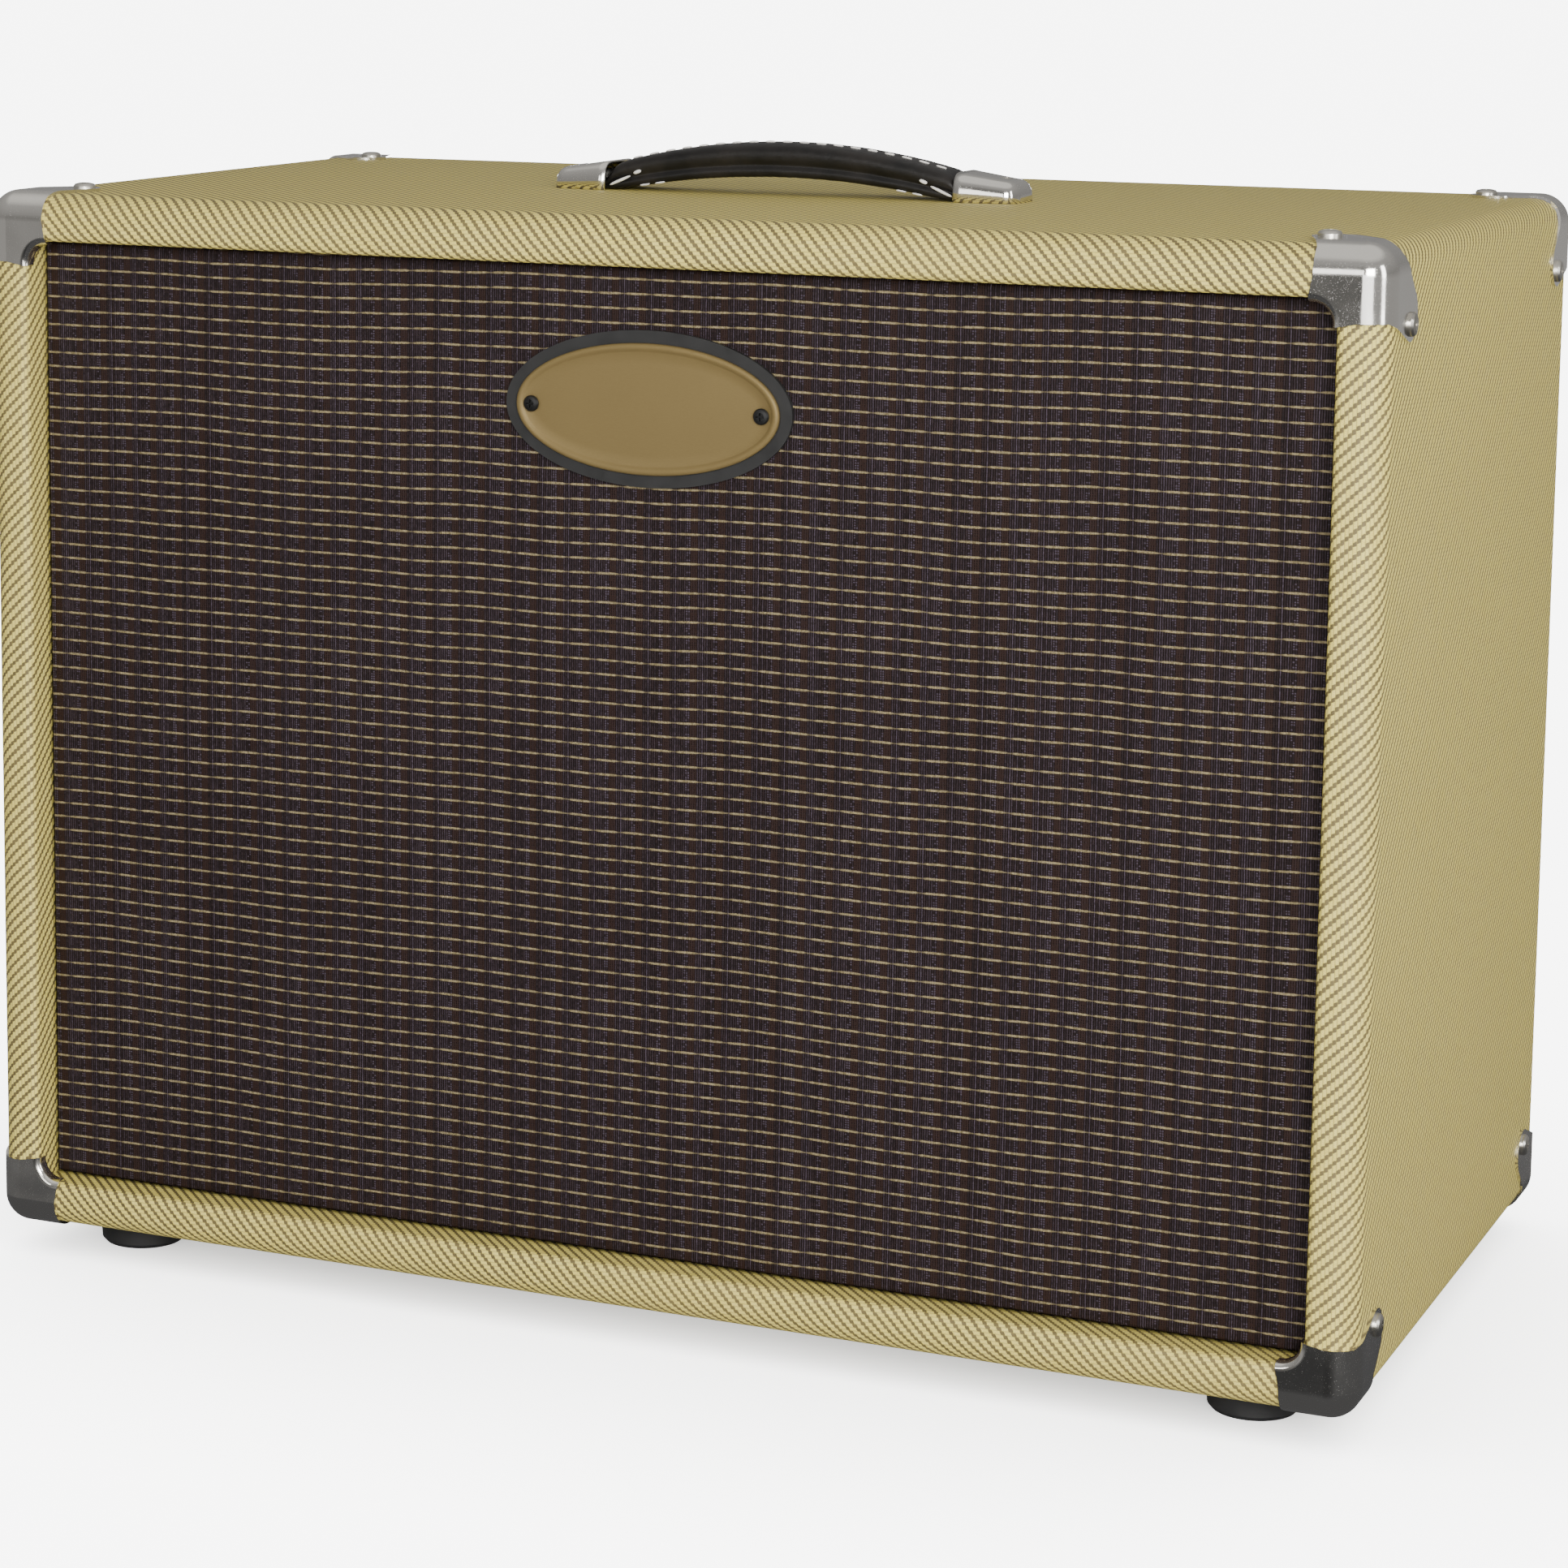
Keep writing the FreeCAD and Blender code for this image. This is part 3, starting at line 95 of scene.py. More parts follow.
def area_light(name, spot, target, size, power, colour=(1, 1, 1)):
    """A rectangular light, turned towards a target and hidden from the camera."""
    light = bpy.data.lights.new(name, "AREA")
    light.shape = "RECTANGLE"
    light.size, light.size_y = size
    light.energy = power
    light.color = colour
    lamp = bpy.data.objects.new(name, light)
    bpy.context.scene.collection.objects.link(lamp)
    lamp.location = spot
    lamp.rotation_euler = (Vector(target) - Vector(spot)).to_track_quat("-Z", "Y").to_euler()
    lamp.visible_camera = False


def make_world():
    """White to the camera; to everything else bright overhead, and dark in front and below."""
    world = bpy.data.worlds.new("studio")
    bpy.context.scene.world = world
    world.use_nodes = True
    nodes, links = world.node_tree.nodes, world.node_tree.links
    background = nodes["Background"]
    place = nodes.new("ShaderNodeTexCoord")
    split = nodes.new("ShaderNodeSeparateXYZ")
    by_height = nodes.new("ShaderNodeValToRGB")
    raised = nodes.new("ShaderNodeMapRange")
    by_depth = nodes.new("ShaderNodeMapRange")
    shaded = nodes.new("ShaderNodeMix")
    shaded.data_type = "RGBA"
    shaded.blend_type = "MULTIPLY"
    shaded.inputs["Factor"].default_value = 1.0
    ray = nodes.new("ShaderNodeLightPath")
    choose = nodes.new("ShaderNodeMix")
    choose.data_type = "RGBA"
    links.new(place.outputs["Generated"], split.inputs[0])
    links.new(split.outputs["Z"], raised.inputs[0])
    links.new(raised.outputs[0], by_height.inputs[0])
    links.new(split.outputs["Y"], by_depth.inputs[0])
    depth_range, height_range = (-0.99, -0.80, 0.25, 1.0), (-0.4, 1.0, 0.0, 1.0)
    for remap, numbers in ((by_depth, depth_range), (raised, height_range)):
        for socket, number in zip(remap.inputs[1:5], numbers):
            socket.default_value = number
    stops = by_height.color_ramp.elements
    stops[0].position, stops[0].color = 0.06, (0.085, 0.085, 0.088, 1)
    stops[1].position, stops[1].color = 0.90, (0.82, 0.80, 0.77, 1)
    grey_levels = ((0.21, 0.38), (0.35, 0.26), (0.64, 0.37), (0.78, 0.42))
    for position, level in grey_levels:
        stops.new(position).color = (level, level * 0.98, level * 0.96, 1)
    links.new(by_height.outputs[0], shaded.inputs["A"])
    links.new(by_depth.outputs[0], shaded.inputs["B"])
    links.new(ray.outputs["Is Camera Ray"], choose.inputs["Factor"])
    links.new(shaded.outputs["Result"], choose.inputs["A"])
    choose.inputs["B"].default_value = (WHITE, WHITE, WHITE, 1)
    links.new(choose.outputs["Result"], background.inputs["Color"])


def make_floor():
    """Plain white floor with a soft painted contact shadow: its glow to the camera fades where the
    amplifier stands.
    """
    half, glow_share, shade_reach = 30, 0.9, 0.22
    mesh = bpy.data.meshes.new("floor")
    mesh.from_pydata([(-half, -half, 0), (half, -half, 0), (half, half, 0), (-half, half, 0)], [],
                     [(0, 1, 2, 3)])
    floor = bpy.data.objects.new("floor", mesh)
    bpy.context.scene.collection.objects.link(floor)
    floor.visible_glossy = False
    paint = Shader("floor_paint")
    patchy = paint.noise(3, detail=2)
    # painted shadow: ambient occlusion dims the floor's camera-only glow near the amplifier
    near = paint.node("AmbientOcclusion", 1, Distance=shade_reach)
    painted_shadow_factor = paint.spread(near, 0.0, 1.0, 0.10, 1.0)
    seen = paint.node("LightPath", 0)
    glow = paint.math("MULTIPLY", paint.math("MULTIPLY", seen, WHITE * glow_share), painted_shadow_factor)
    paint.set(Base_Color=paint.mix(patchy, (0.74, 0.74, 0.735), (0.76, 0.76, 0.755)),
              Roughness=paint.spread(patchy, 0, 1, 0.78, 0.82), Emission_Color=(1, 1, 1),
              Emission_Strength=glow)
    mesh.materials.append(paint.material)


def make_studio():
    """Two softboxes and a low panel in front, a strip on the right, a low light behind; and the set."""
    warm_white = (1.0, 0.985, 0.96)
    middle = (0, 0, 0.25)
    area_light("key_light", (1.25, -2.15, 0.95), middle, (1.1, 0.9), 70, warm_white)
    area_light("low_panel", (0.95, -2.25, 0.30), (0.25, -0.16, 0.25), (1.5, 0.55), 8)
    area_light("front_light", (-0.35, -2.5, 0.92), middle, (1.5, 0.7), 11, warm_white)
    area_light("strip_light", (2.1, -0.7, 0.85), middle, (0.45, 1.3), 14)
    area_light("back_light", (-0.95, 2.3, 0.24), middle, (1.3, 0.44), 18)
    make_world()
    make_floor()


# ---------------------------------------------------------------- materials

class Shader:
    """A node material in the making. A value that is a socket is linked, any other is set."""

    def __init__(self, name):
        self.material = bpy.data.materials.new(name)
        self.material.use_nodes = True
        self.tree = self.material.node_tree
        self.surface = self.tree.nodes["Principled BSDF"]

    def give(self, socket, value):
        """Links or sets one socket; a colour may leave out its alpha."""
        if isinstance(value, bpy.types.NodeSocket):
            self.tree.links.new(value, socket)
        elif isinstance(value, (tuple, list)) and len(value) == 3 and socket.type == "RGBA":
            socket.default_value = (*value, 1)
        else:
            socket.default_value = value

    def node(self, kind, out=0, **values):
        """One output of a new node; the values are for its inputs, or else its settings."""
        made = self.tree.nodes.new(f"ShaderNode{kind}")
        for key, value in values.items():
            if key in made.inputs:
                self.give(made.inputs[key], value)
            else:
                setattr(made, key, value)
        return made.outputs[out]

    def set(self, **values):
        """Values for the surface; an underscore stands for a space."""
        for key, value in values.items():
            self.give(self.surface.inputs[key.replace("_", " ")], value)

    def math(self, operation, first, second=0.0, third=0.0):
        made = self.tree.nodes.new("ShaderNodeMath")
        made.operation = operation
        for socket, value in zip(made.inputs, (first, second, third)):
            self.give(socket, value)
        return made.outputs[0]

    def mix(self, factor, first, second, blend="MIX"):
        made = self.tree.nodes.new("ShaderNodeMix")
        made.data_type = "RGBA"
        made.blend_type = blend
        self.give(made.inputs["Factor"], factor)
        self.give(made.inputs["A"], first)
        self.give(made.inputs["B"], second)
        return made.outputs["Result"]

    def spot(self, scale=(1, 1, 1), turn=(0, 0, 0)):
        """Place on the object, stretched by a scale."""
        where = self.node("TexCoord", "Object")
        made = self.tree.nodes.new("ShaderNodeMapping")
        self.give(made.inputs["Vector"], where)
        made.inputs["Scale"].default_value = scale
        made.inputs["Rotation"].default_value = turn
        return made.outputs[0]

    def noise(self, scale, vector=None, detail=3.0, rough=0.55):
        vector = vector or self.spot()
        return self.node("TexNoise", 0, Vector=vector, Scale=scale, Detail=detail, Roughness=rough)

    def spread(self, value, low_in, high_in, low_out=0.0, high_out=1.0):
        """The value, laid from one range over another and clamped."""
        made = self.tree.nodes.new("ShaderNodeMapRange")
        for socket, number in zip(made.inputs, (value, low_in, high_in, low_out, high_out)):
            self.give(socket, number)
        return made.outputs[0]

    def bump(self, height, depth, strength=1.0):
        made = self.node("Bump", 0, Height=height, Distance=depth, Strength=strength)
        self.set(Normal=made)


def shade(colour, factor):
    return tuple(channel * factor for channel in colour)


def plain(name, colour, rough=0.5, metal=0.0, grain=400, vary=0.12, relief=0.02):
    """Base for moulded, painted and metal surfaces: mottled colour, uneven gloss, fine relief."""
    rough_vary = 0.12
    paint = Shader(name)
    broad = paint.noise(grain * 0.12, detail=4)
    fine = paint.noise(grain * 4, detail=2)
    tone = paint.spread(broad, 0.3, 0.7)
    paint.set(Base_Color=paint.mix(tone, shade(colour, 1 - vary), shade(colour, 1 + vary)),
              Roughness=paint.spread(broad, 0.3, 0.7, max(rough - rough_vary, 0.02), rough + rough_vary),
              Metallic=metal)
    paint.bump(fine, relief * MM, 0.6)
    return paint.material


def brushed(name, colour, rough, scale, metal=1.0):
    """Metal with fine parallel brush marks, drawn out across the axis with the largest scale."""
    paint = Shader(name)
    marks = paint.noise(900, paint.spot(scale), detail=2)
    smear = paint.noise(18, detail=3)
    paint.set(Base_Color=paint.mix(smear, shade(colour, 0.9), shade(colour, 1.06)),
              Roughness=paint.spread(marks, 0.3, 0.7, rough * 0.7, rough * 1.4), Metallic=metal)
    paint.bump(marks, 0.01 * MM, 0.35)
    return paint.material


def tweed():
    """Lacquered twill: rows of straw yarn crossed by brown yarn in stepped diagonal stripes.

    The UV map is in metres: U runs around the cabinet, V across the covering.
    """
    cloth = Shader("tweed_cloth")
    stripe, row_pitch, step = 4.73 * MM, 1.52 * MM, 0.3077
    split = cloth.tree.nodes.new("ShaderNodeSeparateXYZ")
    cloth.give(split.inputs[0], cloth.node("UVMap", 0))

    # Which yarn is on top: rows across the covering, and the phase of the stepped stripe in a row
    wander = cloth.math("SUBTRACT", cloth.noise(22, detail=2), 0.5)
    shiver = cloth.math("SUBTRACT", cloth.noise(900, detail=1), 0.5)
    around = cloth.math("DIVIDE", cloth.math("MULTIPLY_ADD", wander, 1.6 * MM, split.outputs["X"]), stripe)
    across = cloth.math("DIVIDE", cloth.math("MULTIPLY_ADD", wander, 0.6 * MM, split.outputs["Y"]),
                        row_pitch)
    row = cloth.math("FLOOR", across)
    in_row = cloth.math("SUBTRACT", cloth.math("FRACT", across), 0.5)
    moved = cloth.math("MULTIPLY_ADD", row, -step, around)
    moved = cloth.math("MULTIPLY_ADD", in_row, -0.45 * step, moved)
    yarn_id = cloth.node("CombineXYZ", 0, X=cloth.math("FLOOR", moved), Y=row)
    lot = cloth.node("TexWhiteNoise", 0, Vector=yarn_id)
    phase = cloth.math("FRACT", moved)
    phase = cloth.math("ADD", phase, cloth.math("MULTIPLY", shiver, 0.10))
    from_brown = cloth.math("ABSOLUTE", cloth.math("SUBTRACT", phase, 0.30))
    reach = cloth.spread(lot, 0, 1, 0.185, 0.235)
    swell = cloth.math("MULTIPLY", cloth.math("ABSOLUTE", in_row), -0.05)
    brown = cloth.spread(cloth.math("SUBTRACT", from_brown, cloth.math("ADD", reach, swell)),
                         -0.022, 0.022, 1.0, 0.0)

    # Colours of the two yarns, with painted shade darkening the grooves between rows and between plies
    ply = cloth.math("MULTIPLY_ADD", in_row, 0.9, cloth.math("MULTIPLY", around, 6.0))
    twist = cloth.math("ABSOLUTE", cloth.math("SUBTRACT", cloth.math("FRACT", ply), 0.5))
    fibre = cloth.noise(1400, detail=3, rough=0.7)
    straw = cloth.mix(cloth.spread(fibre, 0.3, 0.7), (0.70, 0.565, 0.108), (0.86, 0.745, 0.188))
    straw = cloth.mix(cloth.math("MULTIPLY", lot, 0.30), straw, (0.90, 0.82, 0.30))
    earth = cloth.mix(cloth.math("MULTIPLY_ADD", lot, 0.6, cloth.math("MULTIPLY", fibre, 0.4)),
                      (0.072, 0.055, 0.022), (0.150, 0.118, 0.050))
    colour = cloth.mix(brown, straw, earth)
    groove = cloth.spread(cloth.math("ABSOLUTE", in_row), 0.26, 0.5)
    groove_shade = cloth.math("MAXIMUM", cloth.math("MULTIPLY", groove, 0.60),
                     cloth.math("MULTIPLY", cloth.spread(twist, 0.30, 0.5), 0.30))
    # painted shade: the grooves between rows and plies are mixed towards dark brown
    colour = cloth.mix(groove_shade, colour, (0.235, 0.178, 0.050))
    tone = cloth.noise(5.5, detail=4, rough=0.6)
    colour = cloth.mix(cloth.spread(tone, 0.35, 0.72, 0.0, 0.20), colour, (0.46, 0.36, 0.12))
    cloth.set(Base_Color=colour, Roughness=cloth.spread(fibre, 0.3, 0.7, 0.46, 0.64),
              Specular_IOR_Level=0.45)
    height = cloth.math("SUBTRACT", 1.0, groove_shade)
    height = cloth.math("MULTIPLY_ADD", brown, -0.35, height)
    height = cloth.math("MULTIPLY_ADD", fibre, 0.5, height)
    cloth.bump(height, 0.20 * MM, 0.75)
    return cloth.material


def grille_weave():
    """Dark brown cloth: lilac upright threads, pores painted dark with shade, and gold cross threads in
    long dashes.

    The UV map is in metres: U is the distance from the middle, V the height. Twelve threads make
    one repeat of the pattern across, and six rows make one stripe.
    """
    cloth = Shader("grille_weave")
    thread_pitch, stripe_pitch = 0.967 * MM, 5.80 * MM
    repeat, rows_in_stripe = 12.0, 6.0
    split = cloth.tree.nodes.new("ShaderNodeSeparateXYZ")
    cloth.give(split.inputs[0], cloth.node("UVMap", 0))
    jitter = cloth.math("SUBTRACT", cloth.noise(160, detail=2), 0.5)
    column = cloth.math("DIVIDE", cloth.math("MULTIPLY_ADD", jitter, 0.35 * MM, split.outputs["X"]),
                        thread_pitch)
    stripe = cloth.math("DIVIDE", cloth.math("MULTIPLY_ADD", jitter, 0.30 * MM, split.outputs["Y"]),
                        stripe_pitch)
    row = cloth.math("MULTIPLY", stripe, rows_in_stripe)
    column_id, row_id = cloth.math("FLOOR", column), cloth.math("FLOOR", row)
    order = cloth.math("FLOORED_MODULO", column_id, repeat)
    cell = cloth.node("TexWhiteNoise", 0, Vector=cloth.node("CombineXYZ", 0, X=column_id, Y=row_id))
    per_column = cloth.node("TexWhiteNoise", 0, Vector=cloth.node("CombineXYZ", 0, X=column_id))
    in_column = cloth.math("ABSOLUTE", cloth.math("SUBTRACT", cloth.math("FRACT", column), 0.5))
    in_row = cloth.math("ABSOLUTE", cloth.math("SUBTRACT", cloth.math("FRACT", row), 0.5))
    upright = cloth.spread(in_column, 0.10, 0.32, 1.0, 0.0)
    level = cloth.spread(in_row, 0.10, 0.34, 1.0, 0.0)

    # Lilac threads: one strong upright in each repeat, faint ones between, and a ladder of dashes
    main = cloth.math("COMPARE", order, 0.0, 0.5)
    ladder = cloth.math("COMPARE", order, 5.5, 1.0)
    rusty = cloth.math("COMPARE", order, 8.0, 1.0)
    lively = cloth.math("GREATER_THAN", cell, 0.42)
    faint = cloth.math("MULTIPLY", upright, cloth.spread(per_column, 0.0, 1.0, 0.16, 0.62))
    faint = cloth.math("MULTIPLY", faint, cloth.spread(cell, 0.0, 1.0, 0.55, 1.0))
    faint = cloth.math("MULTIPLY", faint, cloth.math("MULTIPLY_ADD", rusty, -0.75, 1.0))
    strong = cloth.math("MULTIPLY", cloth.math("MULTIPLY", main, upright),
                        cloth.spread(cell, 0.0, 1.0, 0.45, 1.0))
    dashes = cloth.math("MULTIPLY", cloth.math("MULTIPLY", ladder, level), lively)
    lilac_share = cloth.math("MAXIMUM", faint, cloth.math("MAXIMUM", strong, dashes))
    shaded_pore = cloth.math("MULTIPLY", cloth.spread(in_column, 0.24, 0.42),
                      cloth.spread(in_row, 0.20, 0.40, 1.0, 0.0))
    shaded_pore = cloth.math("MULTIPLY", shaded_pore, cloth.math("GREATER_THAN", cell, 0.30))

    shade_of = cloth.noise(14, detail=3)
    ground = cloth.mix(cell, (0.0062, 0.0029, 0.0025), (0.0150, 0.0069, 0.0057))
    ground = cloth.mix(cloth.math("MULTIPLY", rusty, 0.6), ground, (0.026, 0.012, 0.0085))
    lilac = cloth.mix(cloth.spread(shade_of, 0.3, 0.7), (0.046, 0.035, 0.052), (0.074, 0.057, 0.080))
    colour = cloth.mix(lilac_share, ground, lilac)
    # painted shade: the pores between the threads are mixed towards near black
    colour = cloth.mix(cloth.math("MULTIPLY", shaded_pore, 0.9), colour, (0.0035, 0.0022, 0.0022))

    # Gold dash across each stripe, thinner and fainter near the strong upright
    place_in_repeat = cloth.math("FRACT", cloth.math("DIVIDE", column, repeat))
    from_main = cloth.math("ABSOLUTE", cloth.math("SUBTRACT", place_in_repeat, 0.5))
    dash = cloth.spread(from_main, 0.30, 0.44, 1.0, 0.0)
    from_stripe = cloth.math("ABSOLUTE", cloth.math("SUBTRACT", cloth.math("FRACT", stripe), 0.5))
    half_line = cloth.spread(dash, 0.0, 1.0, 0.052, 0.084)
    line = cloth.spread(cloth.math("DIVIDE", from_stripe, half_line), 0.72, 1.12, 1.0, 0.0)
    line = cloth.math("MULTIPLY", line, cloth.spread(dash, 0.0, 1.0, 0.45, 1.0))
    knots = cloth.noise(900, detail=2)
    gold = cloth.mix(cloth.spread(knots, 0.32, 0.68), (0.120, 0.095, 0.046), (0.26, 0.212, 0.120))
    colour = cloth.mix(line, colour, gold)
    cloth.set(Base_Color=colour, Roughness=cloth.spread(line, 0, 1, 0.66, 0.48),
              Specular_IOR_Level=0.16)
    height = cloth.math("MULTIPLY_ADD", line, 1.0, cloth.math("MULTIPLY", lilac_share, 0.6))
    height = cloth.math("MULTIPLY_ADD", shaded_pore, -1.0, height)
    cloth.bump(height, 0.25 * MM, 0.7)
    return cloth.material


def leather():
    """Black grained leather with a soft gloss and slightly browner worn crests."""
    hide = Shader("black_leather")
    pores = hide.node("TexVoronoi", 0, Vector=hide.spot(), Scale=900.0)
    folds = hide.noise(260, detail=4)
    wear = hide.noise(45, detail=3)
    colour = hide.mix(hide.spread(wear, 0.45, 0.75), (0.0055, 0.0052, 0.0052), (0.018, 0.0155, 0.014))
    hide.set(Base_Color=colour,
             Roughness=hide.spread(folds, 0.3, 0.7, 0.34, 0.50), Specular_IOR_Level=0.32)
    hide.bump(hide.math("ADD", hide.math("MULTIPLY", pores, 0.6), folds), 0.12 * MM, 0.6)
    return hide.material


def wood(name, light, dark, scale, rough=0.6, rings=9.0):
    """Board with its grain drawn out along the axis with the smallest scale."""
    board = Shader(name)
    place = board.spot(scale)
    grain = board.noise(rings * 8, place, detail=6, rough=0.65)
    streak = board.noise(rings * 60, place, detail=3)
    mixed = board.math("MULTIPLY_ADD", streak, 0.4, board.math("MULTIPLY", grain, 0.6))
    colour = board.mix(board.spread(mixed, 0.35, 0.68), light, dark)
    board.set(Base_Color=colour, Roughness=board.spread(streak, 0.3, 0.7, rough - 0.1, rough + 0.12),
              Specular_IOR_Level=0.3)
    board.bump(mixed, 0.10 * MM, 0.6)
    return board.material


def ringed(name, light, dark, centre_z, pitch, rough):
    """Fibrous round part with concentric ribs about an axis along Y, at x = 0."""
    part = Shader(name)
    split = part.tree.nodes.new("ShaderNodeSeparateXYZ")
    part.give(split.inputs[0], part.node("TexCoord", "Object"))
    rise = part.math("SUBTRACT", split.outputs["Z"], centre_z)
    square = part.math("ADD", part.math("MULTIPLY", split.outputs["X"], split.outputs["X"]),
                       part.math("MULTIPLY", rise, rise))
    ring = part.math("SINE", part.math("MULTIPLY", part.math("SQRT", square), 2 * math.pi / pitch))
    hair = part.noise(600, detail=5, rough=0.7)
    part.set(Base_Color=part.mix(part.spread(hair, 0.3, 0.7), light, dark),
             Roughness=part.spread(hair, 0.3, 0.7, rough - 0.15, min(rough + 0.1, 1)))
    height = part.math("MULTIPLY_ADD", hair, 0.25, ring)
    part.bump(height, 0.3 * MM, 0.6)
    return part.material


def plated(name, colour, rough=0.10, dents=0.6):
    """Bright nickel or chrome plate, slightly dented, with hairline scratches and a little haze."""
    metal = Shader(name)
    haze = metal.noise(32, detail=5, rough=0.6)
    scratch = metal.noise(1500, metal.spot((1, 0.06, 0.5), (0.4, 0.2, 0.9)), detail=2)
    ripple = metal.noise(46, detail=1)
    pits = metal.spread(metal.noise(2600, detail=1), 0.66, 0.74)
    rubbed = metal.spread(scratch, 0.60, 0.72, 0.0, 0.08)
    base = metal.spread(haze, 0.35, 0.75, rough * 0.6, rough * 2.2)
    metal.set(Base_Color=metal.mix(haze, shade(colour, 0.90), colour), Metallic=1.0,
              Roughness=metal.math("ADD", base, metal.math("MULTIPLY_ADD", pits, 0.2, rubbed)))
    height = metal.math("MULTIPLY_ADD", scratch, 0.02, metal.math("MULTIPLY", ripple, dents))
    metal.bump(metal.math("MULTIPLY_ADD", pits, 0.01, height), 0.9 * MM, 0.5)
    return metal.material


def clear_glass(name, colour, rough=0.02):
    """Blown glass with slight waviness."""
    glass = Shader(name)
    glass.set(Base_Color=glass.mix(glass.noise(60), shade(colour, 0.96), colour),
              Roughness=glass.spread(glass.noise(90), 0.3, 0.7, rough, rough + 0.05),
              Transmission_Weight=1.0, IOR=1.5)
    glass.bump(glass.noise(70), 0.05 * MM, 0.3)
    return glass.material


# ---------------------------------------------------------------- mesh building

def piece(name, verts, faces, material, body, uvs=None, smooth=True):
    """A mesh object, which rides on a body if one is given; uvs holds one pair for each face corner."""
    mesh = bpy.data.meshes.new(name)
    mesh.from_pydata([tuple(v) for v in verts], [], faces)
    mesh.update()
    if uvs:
        layer = mesh.uv_layers.new(name="UVMap")
        for loop, uv in zip(layer.data, uvs):
            loop.uv = uv
    mesh.materials.append(material)
    obj = bpy.data.objects.new(name, mesh)
    bpy.context.scene.collection.objects.link(obj)
    for polygon in mesh.polygons:
        polygon.use_smooth = smooth
    if body:
        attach(obj, body)
    return obj


def thicken(obj, thick, offset=-1.0):
    """Gives a surface its thickness: behind its faces at an offset of -1, in front of them at 1."""
    solid = obj.modifiers.new("thickness", "SOLIDIFY")
    solid.thickness = thick
    solid.offset = offset
    solid.use_even_offset = True


def arc(centre, radius, start, finish, steps):
    """Points on an arc, as pairs, from one angle in degrees to another."""
    turns = [math.radians(start + (finish - start) * i / steps) for i in range(steps + 1)]
    return [(centre[0] + radius * math.cos(a), centre[1] + radius * math.sin(a)) for a in turns]


def strip_faces(rows, columns, closed=False):
    """Quads between rows of points; the last column joins the first where closed."""
    faces = []
    for j in range(rows - 1):
        for i in range(columns if closed else columns - 1):
            k = (i + 1) % columns
            faces.append((j * columns + i, j * columns + k, (j + 1) * columns + k, (j + 1) * columns + i))
    return faces


# ---------------------------------------------------------------- covering and grille

EDGE = 11 * MM                  # round of the cabinet's outer edges
LIP = 3.6 * MM                  # round of the frame's inner edge
FRAME_MARGIN = 19.4 * MM        # width of the frame around the recess
SKIN = 0.6 * MM
FRONT_REACH = 26 * MM           # how far the covering goes into the front recess
BACK_REACH = 18 * MM
SIDE_STEPS, CORNER_STEPS = 24, 6


def cover_stations():
    """Stations across the covering from the front recess over the outside to the back recess.

    Each is a depth Y and an inset from the outer faces.
    """
    front = [(-HALF_Y + FRONT_REACH, FRAME_MARGIN), (-HALF_Y + 12 * MM, FRAME_MARGIN)]
    front += arc((-HALF_Y + LIP, FRAME_MARGIN - LIP), LIP, 90, 180, 6)
    front += [(-HALF_Y, (FRAME_MARGIN - LIP + EDGE) / 2)]
    front += arc((-HALF_Y + EDGE, EDGE), EDGE, 180, 270, 10)
    back = [(-y, inset) for y, inset in reversed(front)]
    back[-1] = (HALF_Y - BACK_REACH, FRAME_MARGIN)
    return front + [(0.0, 0.0)] + back


def cover_loop(inset):
    """Points around the cabinet at one inset, clockwise from the front, with their U."""
    half_x, half_z = HALF_X - inset, HALF_Z - inset
    radius = max(EDGE - inset, 0.3 * MM)
    sides = [  # corner after the side, direction of travel, length of the side, U at its middle
        ((half_x, half_z), (1, 0), half_x, 0.0),
        ((half_x, -half_z), (0, -1), half_z, HALF_X + HALF_Z),
        ((-half_x, -half_z), (-1, 0), half_x, 2 * HALF_X + 2 * HALF_Z),
        ((-half_x, half_z), (0, 1), half_z, 3 * HALF_X + 3 * HALF_Z),
    ]
    loop = []
    for number, (corner, travel, half, middle) in enumerate(sides):
        outward = (-travel[1], travel[0])
        reach = half_z if number % 2 == 0 else half_x
        for i in range(SIDE_STEPS):
            s = (half - radius) * (2 * i / SIDE_STEPS - 1)
            x = travel[0] * s + outward[0] * reach
            z = travel[1] * s + outward[1] * reach
            loop.append((x, z, middle + s))
        centre = [place - math.copysign(radius, place) for place in corner]
        start = 90 - 90 * number
        for i, (x, z) in enumerate(arc(centre, radius, start, start - 90, CORNER_STEPS)[:-1]):
            share = i / CORNER_STEPS
            loop.append((x, z, middle + (half - radius) + share * 2 * (HALF_X - half_x + radius)))
    return loop


def make_covering():
    """The tweed, from inside the front recess over the outside to inside the back recess."""
    stations = cover_stations()
    loops = [cover_loop(inset) for _, inset in stations]
    run = [0.0]         # way across the covering to each station
    for (y0, d0), (y1, d1) in zip(stations, stations[1:]):
        run.append(run[-1] + math.hypot(y1 - y0, d1 - d0))
    columns = len(loops[0])
    verts = [(x, y, z + MIDDLE_Z) for (y, _), loop in zip(stations, loops) for x, z, _ in loop]
    around = 4 * (HALF_X + HALF_Z)
    faces, uvs = strip_faces(len(stations), columns, closed=True), []
    for j in range(len(stations) - 1):
        for i in range(columns):
            k = (i + 1) % columns
            for row, column in ((j, i), (j, k), (j + 1, k), (j + 1, i)):
                u = loops[row][column][2] + (around if column == 0 and i == columns - 1 else 0)
                uvs.append((u, -run[row]))
    cover = piece("tweed_cover", verts, faces, tweed(), CABINET, uvs)
    thicken(cover, SKIN)
    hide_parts("tweed_covering")


